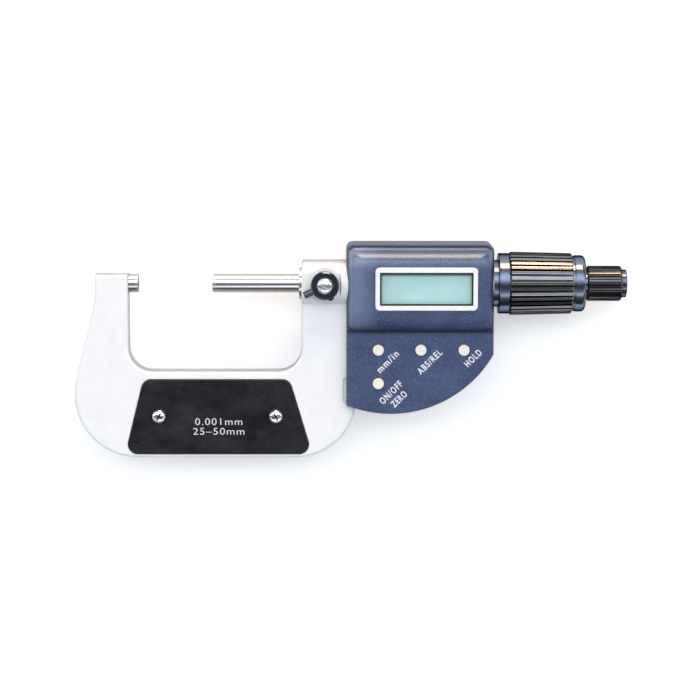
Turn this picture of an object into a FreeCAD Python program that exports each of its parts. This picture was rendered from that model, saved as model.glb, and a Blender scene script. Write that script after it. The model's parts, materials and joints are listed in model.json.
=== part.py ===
import FreeCAD, Part
import math
import os
import re

import Sketcher
from FreeCAD import Placement, Rotation, Vector

# Digital outside micrometer, in millimetres.
# X runs along the spindle from the anvil to the ratchet, Y points away from the throat and Z comes out of the
# display. The origin is the centre of the anvil's measuring face.

# Driving dimensions, one cell of the sheet each.
SIZES = {
    # measuring range and the faces between which a workpiece is held
    "rest_opening": 26.5,
    "range_low": 25,
    "range_high": 50,
    "spindle_dia": 6.5,
    "tip_length": 1.2,
    "tip_bevel": 0.15,
    "anvil_out": 3.5,
    "anvil_shank_dia": 4.5,
    "anvil_shank_length": 8,
    # clearances
    "press_gap": 0.01,
    "running_gap": 0.03,
    "tooth_gap": 0.05,
    "slip_gap": 0.1,
    "end_gap": 0.3,
    "board_gap": 1,
    # how far a pad runs into the wall that carries it, and a cut runs out past a face
    "run_in": 0.2,
    "run_out": 0.5,
    # frame casting
    "arm_width": 12,
    "arm_top": 3.5,
    "arm_shoulder": 6,
    "arm_flare": 7.6,
    "arm_bend_round": 18,
    "waist_drop": 5.6,
    "throat_depth": 31.4,
    "throat_round": 8.5,
    "bow_height": 31.2,
    "bow_left_round": 22.5,
    "bow_right_round": 21.6,
    "frame_thick": 10,
    "rim_round": 1.2,
    "column_width": 19.5,
    "boss_setback": 8.5,
    "boss_length": 21.5,
    "boss_dia": 17.2,
    "boss_bevel": 0.5,
    # the casting's arm inside the housing, with the ring that carries the sleeve
    "bridge_top": 9.6,
    "bridge_bottom": 16,
    "bridge_thick": 9,
    "bridge_end_inset": 7,
    "bridge_root": 4,
    "ring_dia": 15.8,
    "ring_start": 8,
    "ring_web_thick": 7,
    "ring_web_root": 2,
    "hub_bearing_length": 7,
    # spindle bush
    "collar_dia": 11.3,
    "collar_out": 0.9,
    "bush_dia": 9.2,
    "bush_length": 6,
    # spindle lock
    "lock_offset": 8.3,
    "spotface_dia": 12.5,
    "spotface_height": 7.4,
    "lock_flat_length": 13.7,
    "lock_flat_runout": 0.45,
    # relief in the column's faces beside the housing
    "relief_reach": 1.2,
    "relief_top": 33.7,
    "relief_height": 9,
    "relief_depth": 0.5,
    "relief_round": 1,
    "lock_ring_dia": 10,
    "lock_ring_thick": 3.8,
    "lock_ring_bevel": 0.4,
    "lock_float": 0.2,
    "lock_stud_dia": 5,
    "lock_stud_depth": 2.2,
    "lock_plug_dia": 4,
    "lock_lever_dia": 2.5,
    "lock_lever_reach": 8.2,
    "lock_lever_root": 3.2,
    "lock_lever_sink": 0.05,
    "lock_lever_round": 0.5,
    "lock_lever_droop": 25,
    "lock_lug_reach": 5.75,
    "lock_lug_width": 2.4,
    "lock_lug_turn": 89,
    "lock_screw_head_dia": 6,
    "lock_screw_head_rise": 1.2,
    "lock_screw_dia": 2,
    "lock_screw_length": 3,
    "lock_screw_slot_width": 0.85,
    "lock_screw_slot_depth": 0.6,
    # cover plates in the bow, one on each side
    "plate_top_left": 1.7,
    "plate_top_length": 52.4,
    "plate_side_spread": 6.7,
    "plate_right_spread": 8.2,
    "plate_below_throat": 2.8,
    "plate_tall": 27.1,
    "plate_round": 3.6,
    "plate_thick": 1.3,
    "plate_edge_round": 0.32,
    "plate_seat_depth": 1,
    "plate_gap": 0.15,
    "hollow_inset": 2.5,
    "hollow_web": 3.4,
    "plate_screw_inset": 5.5,
    "plate_screw_spacing": 42,
    "plate_screw_drop": 13.4,
    "plate_screw_dia": 2.4,
    "plate_screw_head_dia": 5.5,
    "plate_screw_head_rise": 1.3,
    "plate_screw_length": 3.5,
    "plate_screw_post_dia": 7,
    "plate_screw_recess_dia": 6.6,
    "plate_screw_recess_depth": 0.3,
    # housing
    "boss_shown": 16,
    "housing_length": 52.7,
    "housing_top": 14.5,
    "block_bottom": 16,
    "housing_front": 12,
    "housing_back": 11.6,
    "panel_front": 8,
    "panel_arc": 42.2,
    "panel_arc_along": 10.45,
    "panel_arc_drop": 4.2,
    "shell_wall": 1.6,
    "crown_round": 6,
    "chin_round": 2.2,
    "corner_round": 2.5,
    "panel_round": 0.9,
    "back_round": 1.4,
    # display
    "bezel_along": 2.05,
    "bezel_drop": 1,
    "bezel_length": 36.4,
    "bezel_tall": 15.4,
    "bezel_rise": 0.7,
    "bezel_edge_round": 0.42,
    "bezel_lip": 0.8,
    "bezel_round": 1.6,
    "window_length": 33.2,
    "window_tall": 11.8,
    "window_thick": 0.7,
    "gasket_width": 0.6,
    "gasket_thick": 0.6,
    "lcd_thick": 1.6,
    "display_board_gap": 1.2,
    "board_thick": 1,
    "display_board_inset": 7,
    "display_board_top": 10,
    "display_board_bottom": 14.2,
    # main board in the lower half
    "main_board_gap": 2.8,
    "main_board_inset": 2.2,
    # screw posts
    "post_dia": 4,
    "post_shoulder_dia": 6,
    "upper_post_along": 8.5,
    "upper_post_spacing": 34,
    "post_drop": 12.8,
    "lower_post_left_along": 6.7,
    "lower_post_left_drop": 39.3,
    "lower_post_right_along": 9.5,
    "lower_post_right_drop": 30.3,
    "housing_screw_dia": 2,
    "housing_screw_head_dia": 3.8,
    "housing_screw_head_thick": 1.2,
    "housing_screw_sink": 0.3,
    "housing_screw_hold": 4,
    # buttons
    "button_dia": 4.1,
    "button_out": 0.9,
    "button_gap": 0.15,
    "button_round": 0.4,
    "button_flange_dia": 5.6,
    "button_flange_thick": 0.9,
    "button_stem_dia": 2,
    "button_dome_dia": 3,
    "button_dome_thick": 1.2,
    "button_dome_bevel": 0.4,
    "button_row_drop": 23.2,
    "button_low_drop": 35.3,
    "button_left_along": 11.4,
    "button_middle_along": 26.6,
    "button_right_along": 10.7,
    # battery and its cap
    "battery_dia": 11.6,
    "battery_thick": 5.4,
    "battery_along": 27.5,
    "battery_drop": 31,
    "battery_cap_dia": 14.8,
    "battery_cap_flange": 1.45,
    "battery_cap_spigot_dia": 13.2,
    "battery_cap_spigot": 1.25,
    "battery_slot_width": 1.5,
    "battery_slot_length": 10,
    "battery_slot_depth": 0.8,
    "well_wall": 1.2,
    "well_floor": 1,
    "contact_dia": 8,
    "contact_thick": 0.3,
    "contact_pin_dia": 1.6,
    # rotary encoder
    "stator_dia": 17,
    "disc_thick": 1,
    "disc_air_gap": 0.4,
    "rotor_dia": 16.4,
    "hub_dia": 9,
    "hub_flange_dia": 11,
    "key_dia": 0.9,
    "keyway_width": 1,
    "keyway_depth": 0.65,
    # sleeve and thread
    "sleeve_dia": 13.2,
    "sleeve_bore": 9.2,
    "thread_dia": 8,
    "thread_length": 13.5,
    "thread_run_in": 4,
    "outer_sleeve_dia": 16.8,
    "outer_sleeve_length": 20.6,
    "adjusting_nut_dia": 16,
    "adjusting_nut_length": 5,
    # thimble
    "thimble_gap": 1.7,
    "thimble_air_gap": 0.2,
    "thimble_ring_dia": 21.8,
    "thimble_ring_length": 3.9,
    "thimble_length": 27.1,
    "thimble_wall": 1.2,
    "thimble_end_wall": 2,
    "thimble_spigot": 1.3,
    "thimble_edge_round": 0.4,
    "grip_dia": 22.8,
    "grip_taper": 1.1,
    "grip_length": 22.4,
    "grip_ribs": 36,
    "grip_groove_dia": 20.7,
    "grip_groove_floor_width": 0.54,
    "grip_groove_width": 1.08,
    "cap_dia": 20.3,
    "cap_length": 4,
    "cap_round": 1.5,
    "spindle_neck_dia": 6.8,
    "spindle_neck_length": 3.7,
    # ratchet stop
    "ratchet_gap": 0.7,
    "knob_dia": 12.6,
    "knob_length": 12.5,
    "knob_bevel": 0.6,
    "knob_ribs": 40,
    "knob_groove_floor_width": 0.3,
    "knob_groove_width": 0.6,
    "knob_groove_depth": 0.35,
    "knob_wall": 1.5,
    "knob_floor": 1.6,
    "core_dia": 4.8,
    "core_flange_dia": 9,
    "core_flange_thick": 1.3,
    "core_thread_dia": 3,
    "core_thread_length": 10,
    "core_flat": 1.9,
    "teeth": 12,
    "tooth_height": 0.5,
    "tooth_width": 0.62,
    "tooth_crest_width": 0.15,
    "tooth_inset": 0.3,
    "click_ring_thick": 2,
    "spring_wire_dia": 0.8,
    "spring_turns": 4,
    "end_disc_dia": 10,
    "end_disc_thick": 1.7,
    "end_disc_bevel": 0.4,
    "end_disc_pin_dia": 2.4,
    "end_disc_pin_length": 4,
}

# Places that follow from the driving dimensions.
PLACES = {
    "spindle_radius": "spindle_dia / 2",
    "frame_left": "-anvil_out - arm_width - arm_flare",
    "frame_bottom": "-throat_depth - bow_height",
    "waist_y": "-throat_depth - waist_drop",
    "frame_face": "frame_thick / 2",
    "boss_left": "range_high + boss_setback",
    "boss_right": "boss_left + boss_length",
    "column_right": "boss_left + column_width",
    "ring_left": "boss_right + ring_start",
    "sleeve_left": "ring_left + hub_bearing_length",
    "lock_x": "boss_left + lock_offset",
    "lock_ring_bottom": "spotface_height + lock_float",
    "lock_ring_top": "lock_ring_bottom + lock_ring_thick",
    "lock_stud_bottom": "spotface_height - lock_stud_depth",
    "lock_lever_height": "lock_ring_top - lock_lever_dia / 2 - lock_lever_sink",
    "plate_top": "-throat_depth - plate_below_throat",
    "plate_bottom": "plate_top - plate_tall",
    "plate_seat": "frame_face - plate_seat_depth",
    "plate_face": "plate_seat + plate_thick",
    "plate_screw_seat": "plate_face - plate_screw_recess_depth",
    "plate_screw_top": "plate_face + plate_screw_head_rise",
    "plate_screw_end": "plate_screw_seat - plate_screw_length",
    "plate_screw_x": "plate_top_left + plate_screw_inset",
    "plate_screw_y": "plate_top - plate_screw_drop",
    "housing_left": "boss_left + boss_shown",
    "housing_right": "housing_left + housing_length",
    "housing_middle": "housing_left + housing_length / 2",
    "panel_arc_x": "housing_middle - panel_arc_along",
    "panel_arc_y": "-panel_arc_drop",
    "block_ceiling": "housing_front - shell_wall",
    "panel_ceiling": "panel_front - shell_wall",
    "back_floor": "-housing_back + shell_wall",
    "bezel_x": "housing_middle + bezel_along",
    "bezel_y": "-bezel_drop",
    "display_board_face": "block_ceiling - display_board_gap",
    "display_board_back": "display_board_face - board_thick",
    "lcd_face": "display_board_face + lcd_thick",
    "window_face": "lcd_face + window_thick",
    "main_board_face": "panel_ceiling - main_board_gap",
    "main_board_back": "main_board_face - board_thick",
    "main_board_left": "column_right + board_gap",
    "upper_post_x": "housing_left + upper_post_along",
    "lower_post_left_x": "housing_left + lower_post_left_along",
    "lower_post_right_x": "housing_right - lower_post_right_along",
    "button_face": "panel_front + button_out",
    "button_flange_top": "panel_ceiling - slip_gap",
    "button_flange_bottom": "button_flange_top - button_flange_thick",
    "button_foot": "main_board_face + button_dome_thick",
    "battery_x": "housing_left + battery_along",
    "battery_cap_back": "-housing_back + slip_gap",
    "battery_cap_shoulder": "battery_cap_back + battery_cap_flange",
    "battery_cap_inner": "battery_cap_shoulder + battery_cap_spigot",
    "battery_back": "battery_cap_inner + running_gap",
    "battery_front": "battery_back + battery_thick",
    "well_floor_back": "battery_front + contact_thick",
    "well_floor_front": "well_floor_back + well_floor",
    "stator_right": "boss_right + disc_thick",
    "rotor_left": "stator_right + disc_air_gap",
    "rotor_right": "rotor_left + disc_thick",
    "key_x": "(rotor_right + ring_left) / 2",
    "closing_travel": "rest_opening - range_low",
    "opening_travel": "range_high - rest_opening",
    "tip_right": "rest_opening + tip_length",
    "outer_sleeve_left": "housing_right + slip_gap",
    "thimble_left": "housing_right + thimble_gap",
    "thimble_inner_end": "thimble_right - thimble_end_wall + thimble_spigot",
    "thimble_right": "thimble_left + thimble_length",
    "sleeve_right": "thimble_inner_end - closing_travel - end_gap",
    "nut_thread_left": "sleeve_right - thread_length",
    "thread_left": "nut_thread_left - opening_travel - thread_run_in",
    "thimble_bore": "outer_sleeve_dia / 2 + thimble_air_gap",
    "thimble_outside": "thimble_bore + thimble_wall",
    "thimble_spigot_right": "thimble_inner_end + thimble_end_wall",
    "spindle_right": "thimble_inner_end + spindle_neck_length",
    "cap_right": "thimble_right + cap_length",
    "grip_left": "thimble_left + thimble_ring_length + slip_gap",
    "knob_left": "cap_right + ratchet_gap",
    "knob_right": "knob_left + knob_length",
    "core_flange_right": "cap_right + core_flange_thick",
    "knob_floor_left": "core_flange_right + slip_gap",
    "knob_floor_right": "knob_floor_left + knob_floor",
    "knob_cavity": "knob_dia / 2 - knob_wall",
    "click_plate_left": "knob_floor_right + tooth_height + tooth_gap",
    "click_plate_right": "click_plate_left + click_ring_thick",
    "end_disc_left": "knob_right + slip_gap",
    "spring_left": "click_plate_right + tooth_gap",
    "spring_right": "end_disc_left - tooth_gap",
    "spring_mean_radius": "(core_dia / 2 + knob_cavity) / 2",
}

# How near an edge has to lie to the place by which it is picked, and the share of a screw head that is domed.
NEAR = 0.02
DOME_SHARE = 0.75

doc = FreeCAD.newDocument("Micrometer")
sheet = doc.addObject("Spreadsheet::Sheet", "Sizes")
for row, (alias, size) in enumerate(SIZES.items(), 1):
    sheet.set(f"A{row}", alias)
    sheet.set(f"B{row}", str(size))
    sheet.setAlias(f"B{row}", alias)
doc.recompute()


def formula(text):
    """Text with each size and place written out as an expression on the sheet."""

    def written_out(match):
        word = match.group(0)
        if word in PLACES:
            return f"({formula(PLACES[word])})"
        return f"Sizes.{word}" if word in SIZES else word

    return re.sub(r"[a-z_]+", written_out, str(text))


def value(text):
    return float(sheet.evalExpression(formula(text)))


# Sketches and features


def origin_feature(body, role):
    return next(part for part in body.Origin.OriginFeatures if part.Role == role)


def new_body(label):
    body = doc.addObject("PartDesign::Body", label)
    body.Label = label
    return body


def new_sketch(body, role="XY_Plane", offset="0"):
    sketch = body.newObject("Sketcher::SketchObject", f"{body.Label}_sketch")
    sketch.AttachmentSupport = [(origin_feature(body, role), "")]
    sketch.MapMode = "FlatFace"
    sketch.setExpression("AttachmentOffset.Base.z", formula(offset))
    return sketch


def fix_point(sketch, geometry, point, x, y):
    """Bind one point of the sketch to its distances from the sketch's origin."""
    for kind, distance in (("DistanceX", x), ("DistanceY", y)):
        constraint = Sketcher.Constraint(kind, -1, 1, geometry, point, value(distance))
        index = sketch.addConstraint(constraint)
        sketch.setExpression(f"Constraints[{index}]", formula(distance))


def add_polygon(sketch, points):
    first = sketch.GeometryCount
    corners = [Vector(value(x), value(y), 0) for x, y in points]
    count = len(corners)
    for index, corner in enumerate(corners):
        sketch.addGeometry(Part.LineSegment(corner, corners[(index + 1) % count]), False)
    for index in range(count):
        following = first + (index + 1) % count
        sketch.addConstraint(Sketcher.Constraint("Coincident", first + index, 2, following, 1))
    for index, (x, y) in enumerate(points):
        fix_point(sketch, first + index, 1, x, y)


def add_circle(sketch, x, y, radius):
    circle = Part.Circle(Vector(value(x), value(y), 0), Vector(0, 0, 1), value(radius))
    geometry = sketch.addGeometry(circle, False)
    fix_point(sketch, geometry, 3, x, y)
    index = sketch.addConstraint(Sketcher.Constraint("Radius", geometry, value(radius)))
    sketch.setExpression(f"Constraints[{index}]", formula(radius))


def add_panel_outline(sketch, inset, left="housing_left", top="0"):
    """The lower half of the housing: straight sides, and a bottom that is one arc."""
    left_text = f"{left} + {inset}"
    right_text = f"housing_right - {inset}"
    radius_text = f"panel_arc - {inset}"
    left_x, right_x, top_y = value(left_text), value(right_text), value(top)
    centre = Vector(value("panel_arc_x"), value("panel_arc_y"), 0)
    radius = value(radius_text)
    left_angle = -math.acos((left_x - centre.x) / radius)
    right_angle = -math.acos((right_x - centre.x) / radius)
    left_low = Vector(left_x, centre.y + radius * math.sin(left_angle), 0)
    right_low = Vector(right_x, centre.y + radius * math.sin(right_angle), 0)
    left_top, right_top = Vector(left_x, top_y, 0), Vector(right_x, top_y, 0)
    circle = Part.Circle(centre, Vector(0, 0, 1), radius)
    sketch.addGeometry(Part.LineSegment(left_top, left_low), False)
    sketch.addGeometry(Part.ArcOfCircle(circle, left_angle, right_angle), False)
    sketch.addGeometry(Part.LineSegment(right_low, right_top), False)
    sketch.addGeometry(Part.LineSegment(right_top, left_top), False)
    for index in range(4):
        sketch.addConstraint(Sketcher.Constraint("Coincident", index, 2, (index + 1) % 4, 1))
    fix_point(sketch, 0, 1, left_text, top)
    fix_point(sketch, 2, 2, right_text, top)
    fix_point(sketch, 1, 3, "panel_arc_x", "panel_arc_y")
    sketch.addConstraint(Sketcher.Constraint("Vertical", 0))
    sketch.addConstraint(Sketcher.Constraint("Vertical", 2))
    index = sketch.addConstraint(Sketcher.Constraint("Radius", 1, radius))
    sketch.setExpression(f"Constraints[{index}]", formula(radius_text))


def checked(body, feature, grows):
    """Recompute, and refuse a feature that failed or that changed the body the wrong way."""
    before = body.Tip.BaseFeature.Shape.Volume if body.Tip.BaseFeature else 0
    doc.recompute()
    change = feature.Shape.Volume - before
    if "Invalid" in feature.State or "Error" in feature.State or change * grows <= 0:
        raise RuntimeError(f"{body.Label}: {feature.Name} {feature.State} changes it by {change:.3f}")
    return feature


def pad_sketch(body, sketch, length):
    feature = body.newObject("PartDesign::Pad", f"{body.Label}_pad")
    feature.Profile = sketch
    feature.setExpression("Length", formula(length))
    return checked(body, feature, 1)


def cut_sketch(body, sketch, length):
    """Cut from the sketch's plane towards its normal."""
    feature = body.newObject("PartDesign::Pocket", f"{body.Label}_pocket")
    feature.Profile = sketch
    feature.Reversed = True
    feature.setExpression("Length", formula(length))
    return checked(body, feature, -1)


def pad_polygon(body, points, low, high, role="XY_Plane"):
    sketch = new_sketch(body, role, low)
    add_polygon(sketch, points)
    return pad_sketch(body, sketch, f"({high}) - ({low})")


def cut_polygon(body, points, low, high, role="XY_Plane"):
    sketch = new_sketch(body, role, low)
    add_polygon(sketch, points)
    return cut_sketch(body, sketch, f"({high}) - ({low})")


def pad_circles(body, centres, radius, low, high, role="XY_Plane"):
    sketch = new_sketch(body, role, low)
    for x, y in centres:
        add_circle(sketch, x, y, radius)
    return pad_sketch(body, sketch, f"({high}) - ({low})")


def cut_circles(body, centres, radius, low, high, role="XY_Plane"):
    sketch = new_sketch(body, role, low)
    for x, y in centres:
        add_circle(sketch, x, y, radius)
    return cut_sketch(body, sketch, f"({high}) - ({low})")


def turn(body, points, kind="PartDesign::Revolution"):
    """Revolve a profile of (along X, radius) points about the spindle's axis."""
    sketch = new_sketch(body)
    add_polygon(sketch, points)
    feature = body.newObject(kind, f"{body.Label}_turned")
    feature.Profile = sketch
    feature.ReferenceAxis = (origin_feature(body, "X_Axis"), [""])
    feature.Angle = 360
    return checked(body, feature, 1 if kind == "PartDesign::Revolution" else -1)


def bore(body, left, right, radius):
    """Turn out a round hole on the spindle's axis."""
    points = [(left, "0"), (right, "0"), (right, radius), (left, radius)]
    return turn(body, points, "PartDesign::Groove")


def tube(label, left, right, inner, outer):
    body = new_body(label)
    turn(body, [(left, inner), (right, inner), (right, outer), (left, outer)])
    return body


def around(body, feature, count):
    """Repeat a feature round the spindle's axis."""
    pattern = body.newObject("PartDesign::PolarPattern", f"{body.Label}_around")
    pattern.Originals = [feature]
    pattern.Axis = (origin_feature(body, "X_Axis"), [""])
    pattern.Angle = 360
    pattern.setExpression("Occurrences", formula(count))
    body.Tip = pattern
    doc.recompute()
    return pattern


def soften(body, radius, chosen, kind="PartDesign::Fillet"):
    """Round (or bevel) the edges that pass the test."""
    base = body.Tip
    names = [f"Edge{index}" for index, edge in enumerate(base.Shape.Edges, 1) if chosen(edge)]
    if not names:
        raise RuntimeError(f"{body.Label}: no edge to soften by {radius}")
    feature = body.newObject(kind, f"{body.Label}_softened")
    feature.Base = (base, names)
    feature.setExpression("Radius" if kind.endswith("Fillet") else "Size", formula(radius))
    doc.recompute()
    if "Invalid" in feature.State or "Error" in feature.State:
        raise RuntimeError(f"{body.Label}: rounding by {radius} {feature.State}")
    return feature


# Tests that pick edges by where they lie


def near(first, second):
    return abs(first - second) < NEAR


def on_plane(axis, place):
    """Edges that lie in the plane where the coordinate has this value."""
    at = value(place)

    def chosen(edge):
        box = edge.BoundBox
        return near(getattr(box, f"{axis}Min"), at) and near(getattr(box, f"{axis}Max"), at)

    return chosen


def at_corner(first_axis, first, second_axis, second):
    """Straight edges along the third axis through this corner."""
    tests = (on_plane(first_axis, first), on_plane(second_axis, second))
    return lambda edge: all(test(edge) for test in tests)


def any_of(*tests):
    return lambda edge: any(test(edge) for test in tests)


def all_of(*tests):
    return lambda edge: all(test(edge) for test in tests)


def rim(x, radius):
    """The circle of this radius about the spindle's axis, at this place along it."""
    at, size = value(x), value(radius)

    def chosen(edge):
        box = edge.BoundBox
        return near(box.XMin, at) and near(box.XMax, at) and near(box.YMax, size) and near(box.ZMax, size)

    return chosen


def rectangle(left, right, bottom, top):
    return [(left, bottom), (right, bottom), (right, top), (left, top)]


def box_about(x, y, length, tall):
    return rectangle(
        f"{x} - ({length}) / 2", f"{x} + ({length}) / 2", f"{y} - ({tall}) / 2", f"{y} + ({tall}) / 2"
    )


# Frame and what is pressed into it


def plate_points(grow):
    """The cover plate's trapezoid, larger all round by grow."""
    left, right = "plate_top_left", "(plate_top_left + plate_top_length)"
    return [
        (f"{left} - ({grow})", f"plate_top + ({grow})"),
        (f"{left} - plate_side_spread - ({grow})", f"plate_bottom - ({grow})"),
        (f"{right} + plate_right_spread + ({grow})", f"plate_bottom - ({grow})"),
        (f"{right} + ({grow})", f"plate_top + ({grow})"),
    ]


PLATE_SCREWS = [
    ("plate_screw_x", "plate_screw_y"),
    ("plate_screw_x + plate_screw_spacing", "plate_screw_y"),
]
UPPER_POSTS = [
    ("upper_post_x", "-post_drop"),
    ("upper_post_x + upper_post_spacing", "-post_drop"),
]
LOWER_POSTS = [
    ("lower_post_left_x", "-lower_post_left_drop"),
    ("lower_post_right_x", "-lower_post_right_drop"),
]


def make_frame():
    body = new_body("frame")
    outline = [
        ("-anvil_out - arm_width", "arm_top"),
        ("-anvil_out - arm_width", "-arm_shoulder"),
        ("frame_left", "waist_y"),
        ("frame_left", "frame_bottom"),
        ("column_right", "frame_bottom"),
        ("column_right", "0"),
        ("boss_left", "0"),
        ("boss_left", "-throat_depth"),
        ("-anvil_out", "-throat_depth"),
        ("-anvil_out", "arm_top"),
    ]
    pad_polygon(body, outline, "-frame_face", "frame_face")
    corners = [
        ("frame_left", "frame_bottom", "bow_left_round"),
        ("column_right", "frame_bottom", "bow_right_round"),
        ("boss_left", "-throat_depth", "throat_round"),
        ("-anvil_out", "-throat_depth", "throat_round"),
        ("-anvil_out - arm_width", "-arm_shoulder", "arm_bend_round"),
        ("frame_left", "waist_y", "arm_bend_round"),
    ]
    for x, y, radius in corners:
        soften(body, radius, at_corner("X", x, "Y", y))
    soften(body, "rim_round", any_of(on_plane("Z", "-frame_face"), on_plane("Z", "frame_face")))
    boss = [
        ("boss_left", "0"),
        ("boss_right", "0"),
        ("boss_right", "boss_dia / 2"),
        ("boss_left + boss_bevel", "boss_dia / 2"),
        ("boss_left", "boss_dia / 2 - boss_bevel"),
    ]
    turn(body, boss)
    lock = [("lock_x", "0")]
    pad_circles(body, lock, "spotface_dia / 2", "0", "spotface_height")
    flat = [
        ("boss_left - run_out", "spotface_height"),
        ("boss_left + lock_flat_length", "spotface_height"),
        ("boss_left + lock_flat_length + lock_flat_runout", "boss_dia / 2"),
        ("boss_left + lock_flat_length + lock_flat_runout", "boss_dia / 2 + run_out"),
        ("boss_left - run_out", "boss_dia / 2 + run_out"),
    ]
    cut_polygon(body, flat, "-boss_dia / 2", "boss_dia / 2", "XZ_Plane")
    bridge_end = "housing_right - bridge_end_inset"
    bridge = rectangle("column_right - bridge_root", bridge_end, "-bridge_bottom", "-bridge_top")
    pad_polygon(body, bridge, "-bridge_thick / 2", "bridge_thick / 2")
    web = rectangle("ring_left", bridge_end, "-bridge_top - run_out", "-ring_dia / 2 + ring_web_root")
    pad_polygon(body, web, "-ring_web_thick / 2", "ring_web_thick / 2")
    turn(body, rectangle("ring_left", "housing_right", "0", "ring_dia / 2"))
    bore(body, "-anvil_out - anvil_shank_length", "-anvil_out", "anvil_shank_dia / 2 + press_gap")
    bore(body, "boss_left", "boss_left + bush_length", "bush_dia / 2 + press_gap")
    bore(body, "boss_left + bush_length", "boss_right", "spindle_radius + slip_gap")
    bore(body, "ring_left", "sleeve_left", "hub_dia / 2 + running_gap")
    bore(body, "sleeve_left", "housing_right", "sleeve_dia / 2 + press_gap")
    make_plate_seats(body)
    make_relief(body)
    cut_circles(body, lock, "lock_stud_dia / 2 + running_gap", "lock_stud_bottom", "boss_dia / 2")
    cut_circles(body, lock, "lock_plug_dia / 2 + running_gap", "0", "lock_stud_bottom")
    screw_hole = "housing_screw_dia / 2 + slip_gap"
    cut_circles(body, UPPER_POSTS, screw_hole, "-bridge_thick / 2", "bridge_thick / 2")
    return body


def make_relief(body):
    """A shallow relief in both faces of the column, which runs in under the housing's edge."""
    left, low = "housing_left - relief_reach", "-relief_top - relief_height"
    corners = any_of(at_corner("X", left, "Y", low), at_corner("X", left, "Y", "-relief_top"))
    for floor, face in (("frame_face - relief_depth", "frame_face"), ("-frame_face", "relief_depth - frame_face")):
        cut_polygon(body, rectangle(left, "column_right + run_out", low, "-relief_top"), floor, face)
        soften(body, "relief_round", all_of(corners, between_z(floor, face)))


def make_plate_seats(body):
    """A shallow seat for each cover plate, and behind it the hollow that lightens the casting."""
    for low, high, floor, ceiling in (
        ("plate_seat", "frame_face", "hollow_web / 2", "plate_seat"),
        ("-frame_face", "-plate_seat", "-plate_seat", "-hollow_web / 2"),
    ):
        cut_polygon(body, plate_points("plate_gap"), low, high)
        seat_corners = [at_corner("X", x, "Y", y) for x, y in plate_points("plate_gap")]
        soften(body, "plate_round + plate_gap", all_of(any_of(*seat_corners), between_z(low, high)))
        cut_polygon(body, plate_points("-hollow_inset"), floor, ceiling)
        pad_circles(body, PLATE_SCREWS, "plate_screw_post_dia / 2", floor, ceiling)
    cut_circles(body, PLATE_SCREWS, "plate_screw_dia / 2 + press_gap", "-plate_seat", "plate_seat")


def between_z(low, high):
    bottom, top = value(low) - NEAR, value(high) + NEAR
    return lambda edge: edge.BoundBox.ZMin > bottom and edge.BoundBox.ZMax < top


def make_anvil():
    body = new_body("anvil")
    points = [
        ("-anvil_out - anvil_shank_length", "0"),
        ("-tip_length", "0"),
        ("-tip_length", "spindle_radius"),
        ("-anvil_out", "spindle_radius"),
        ("-anvil_out", "anvil_shank_dia / 2"),
        ("-anvil_out - anvil_shank_length", "anvil_shank_dia / 2"),
    ]
    turn(body, points)
    tip = new_body("anvil_tip")
    turn(tip, rectangle("-tip_length", "0", "0", "spindle_radius"))
    soften(tip, "tip_bevel", rim("0", "spindle_radius"), "PartDesign::Chamfer")


def make_bush():
    body = new_body("spindle_bush")
    inner = "spindle_radius + running_gap"
    points = [
        ("boss_left - collar_out", inner),
        ("boss_left + bush_length", inner),
        ("boss_left + bush_length", "bush_dia / 2"),
        ("boss_left", "bush_dia / 2"),
        ("boss_left", "collar_dia / 2"),
        ("boss_left - collar_out", "collar_dia / 2"),
    ]
    turn(body, points)


def make_plates():
    """A cover plate on each side of the bow, each with two screws in shallow recesses."""
    for side in ("front", "back"):
        body = new_body(f"{side}_plate")
        pad_polygon(body, plate_points("0"), *facing(side, "plate_seat", "plate_face"))
        corners = [at_corner("X", x, "Y", y) for x, y in plate_points("0")]
        soften(body, "plate_round", any_of(*corners))
        soften(body, "plate_edge_round", on_plane("Z", "plate_face" if side == "front" else "-plate_face"))
        hole, recess = "plate_screw_dia / 2 + slip_gap", "plate_screw_recess_dia / 2"
        cut_circles(body, PLATE_SCREWS, hole, *facing(side, "plate_seat", "plate_face"))
        cut_circles(body, PLATE_SCREWS, recess, *facing(side, "plate_screw_seat", "plate_face"))
        screws = []
        for number, place in enumerate(PLATE_SCREWS):
            screw = new_body(f"{side}_plate_screw_{number}")
            head = facing(side, "plate_screw_seat", "plate_screw_top")
            pad_circles(screw, [place], "plate_screw_head_dia / 2", *head)
            top = "plate_screw_top" if side == "front" else "-plate_screw_top"
            soften(screw, f"plate_screw_head_rise * {DOME_SHARE}", on_plane("Z", top))
            shank = facing(side, "plate_screw_end", "plate_screw_seat")
            pad_circles(screw, [place], "plate_screw_dia / 2", *shank)
            screws.append(screw)
        group(f"{side}_plate_screws", screws)


def facing(side, inner, outer):
    """Two heights in rising order, on the front of the frame or mirrored to its back."""
    return (inner, outer) if side == "front" else (f"-({outer})", f"-({inner})")


def group(label, members):
    """Like fasteners that share one sub-part as separate solids."""
    compound = doc.addObject("Part::Compound", label)
    compound.Links = members
    compound.Label = label


# Spindle lock


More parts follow.
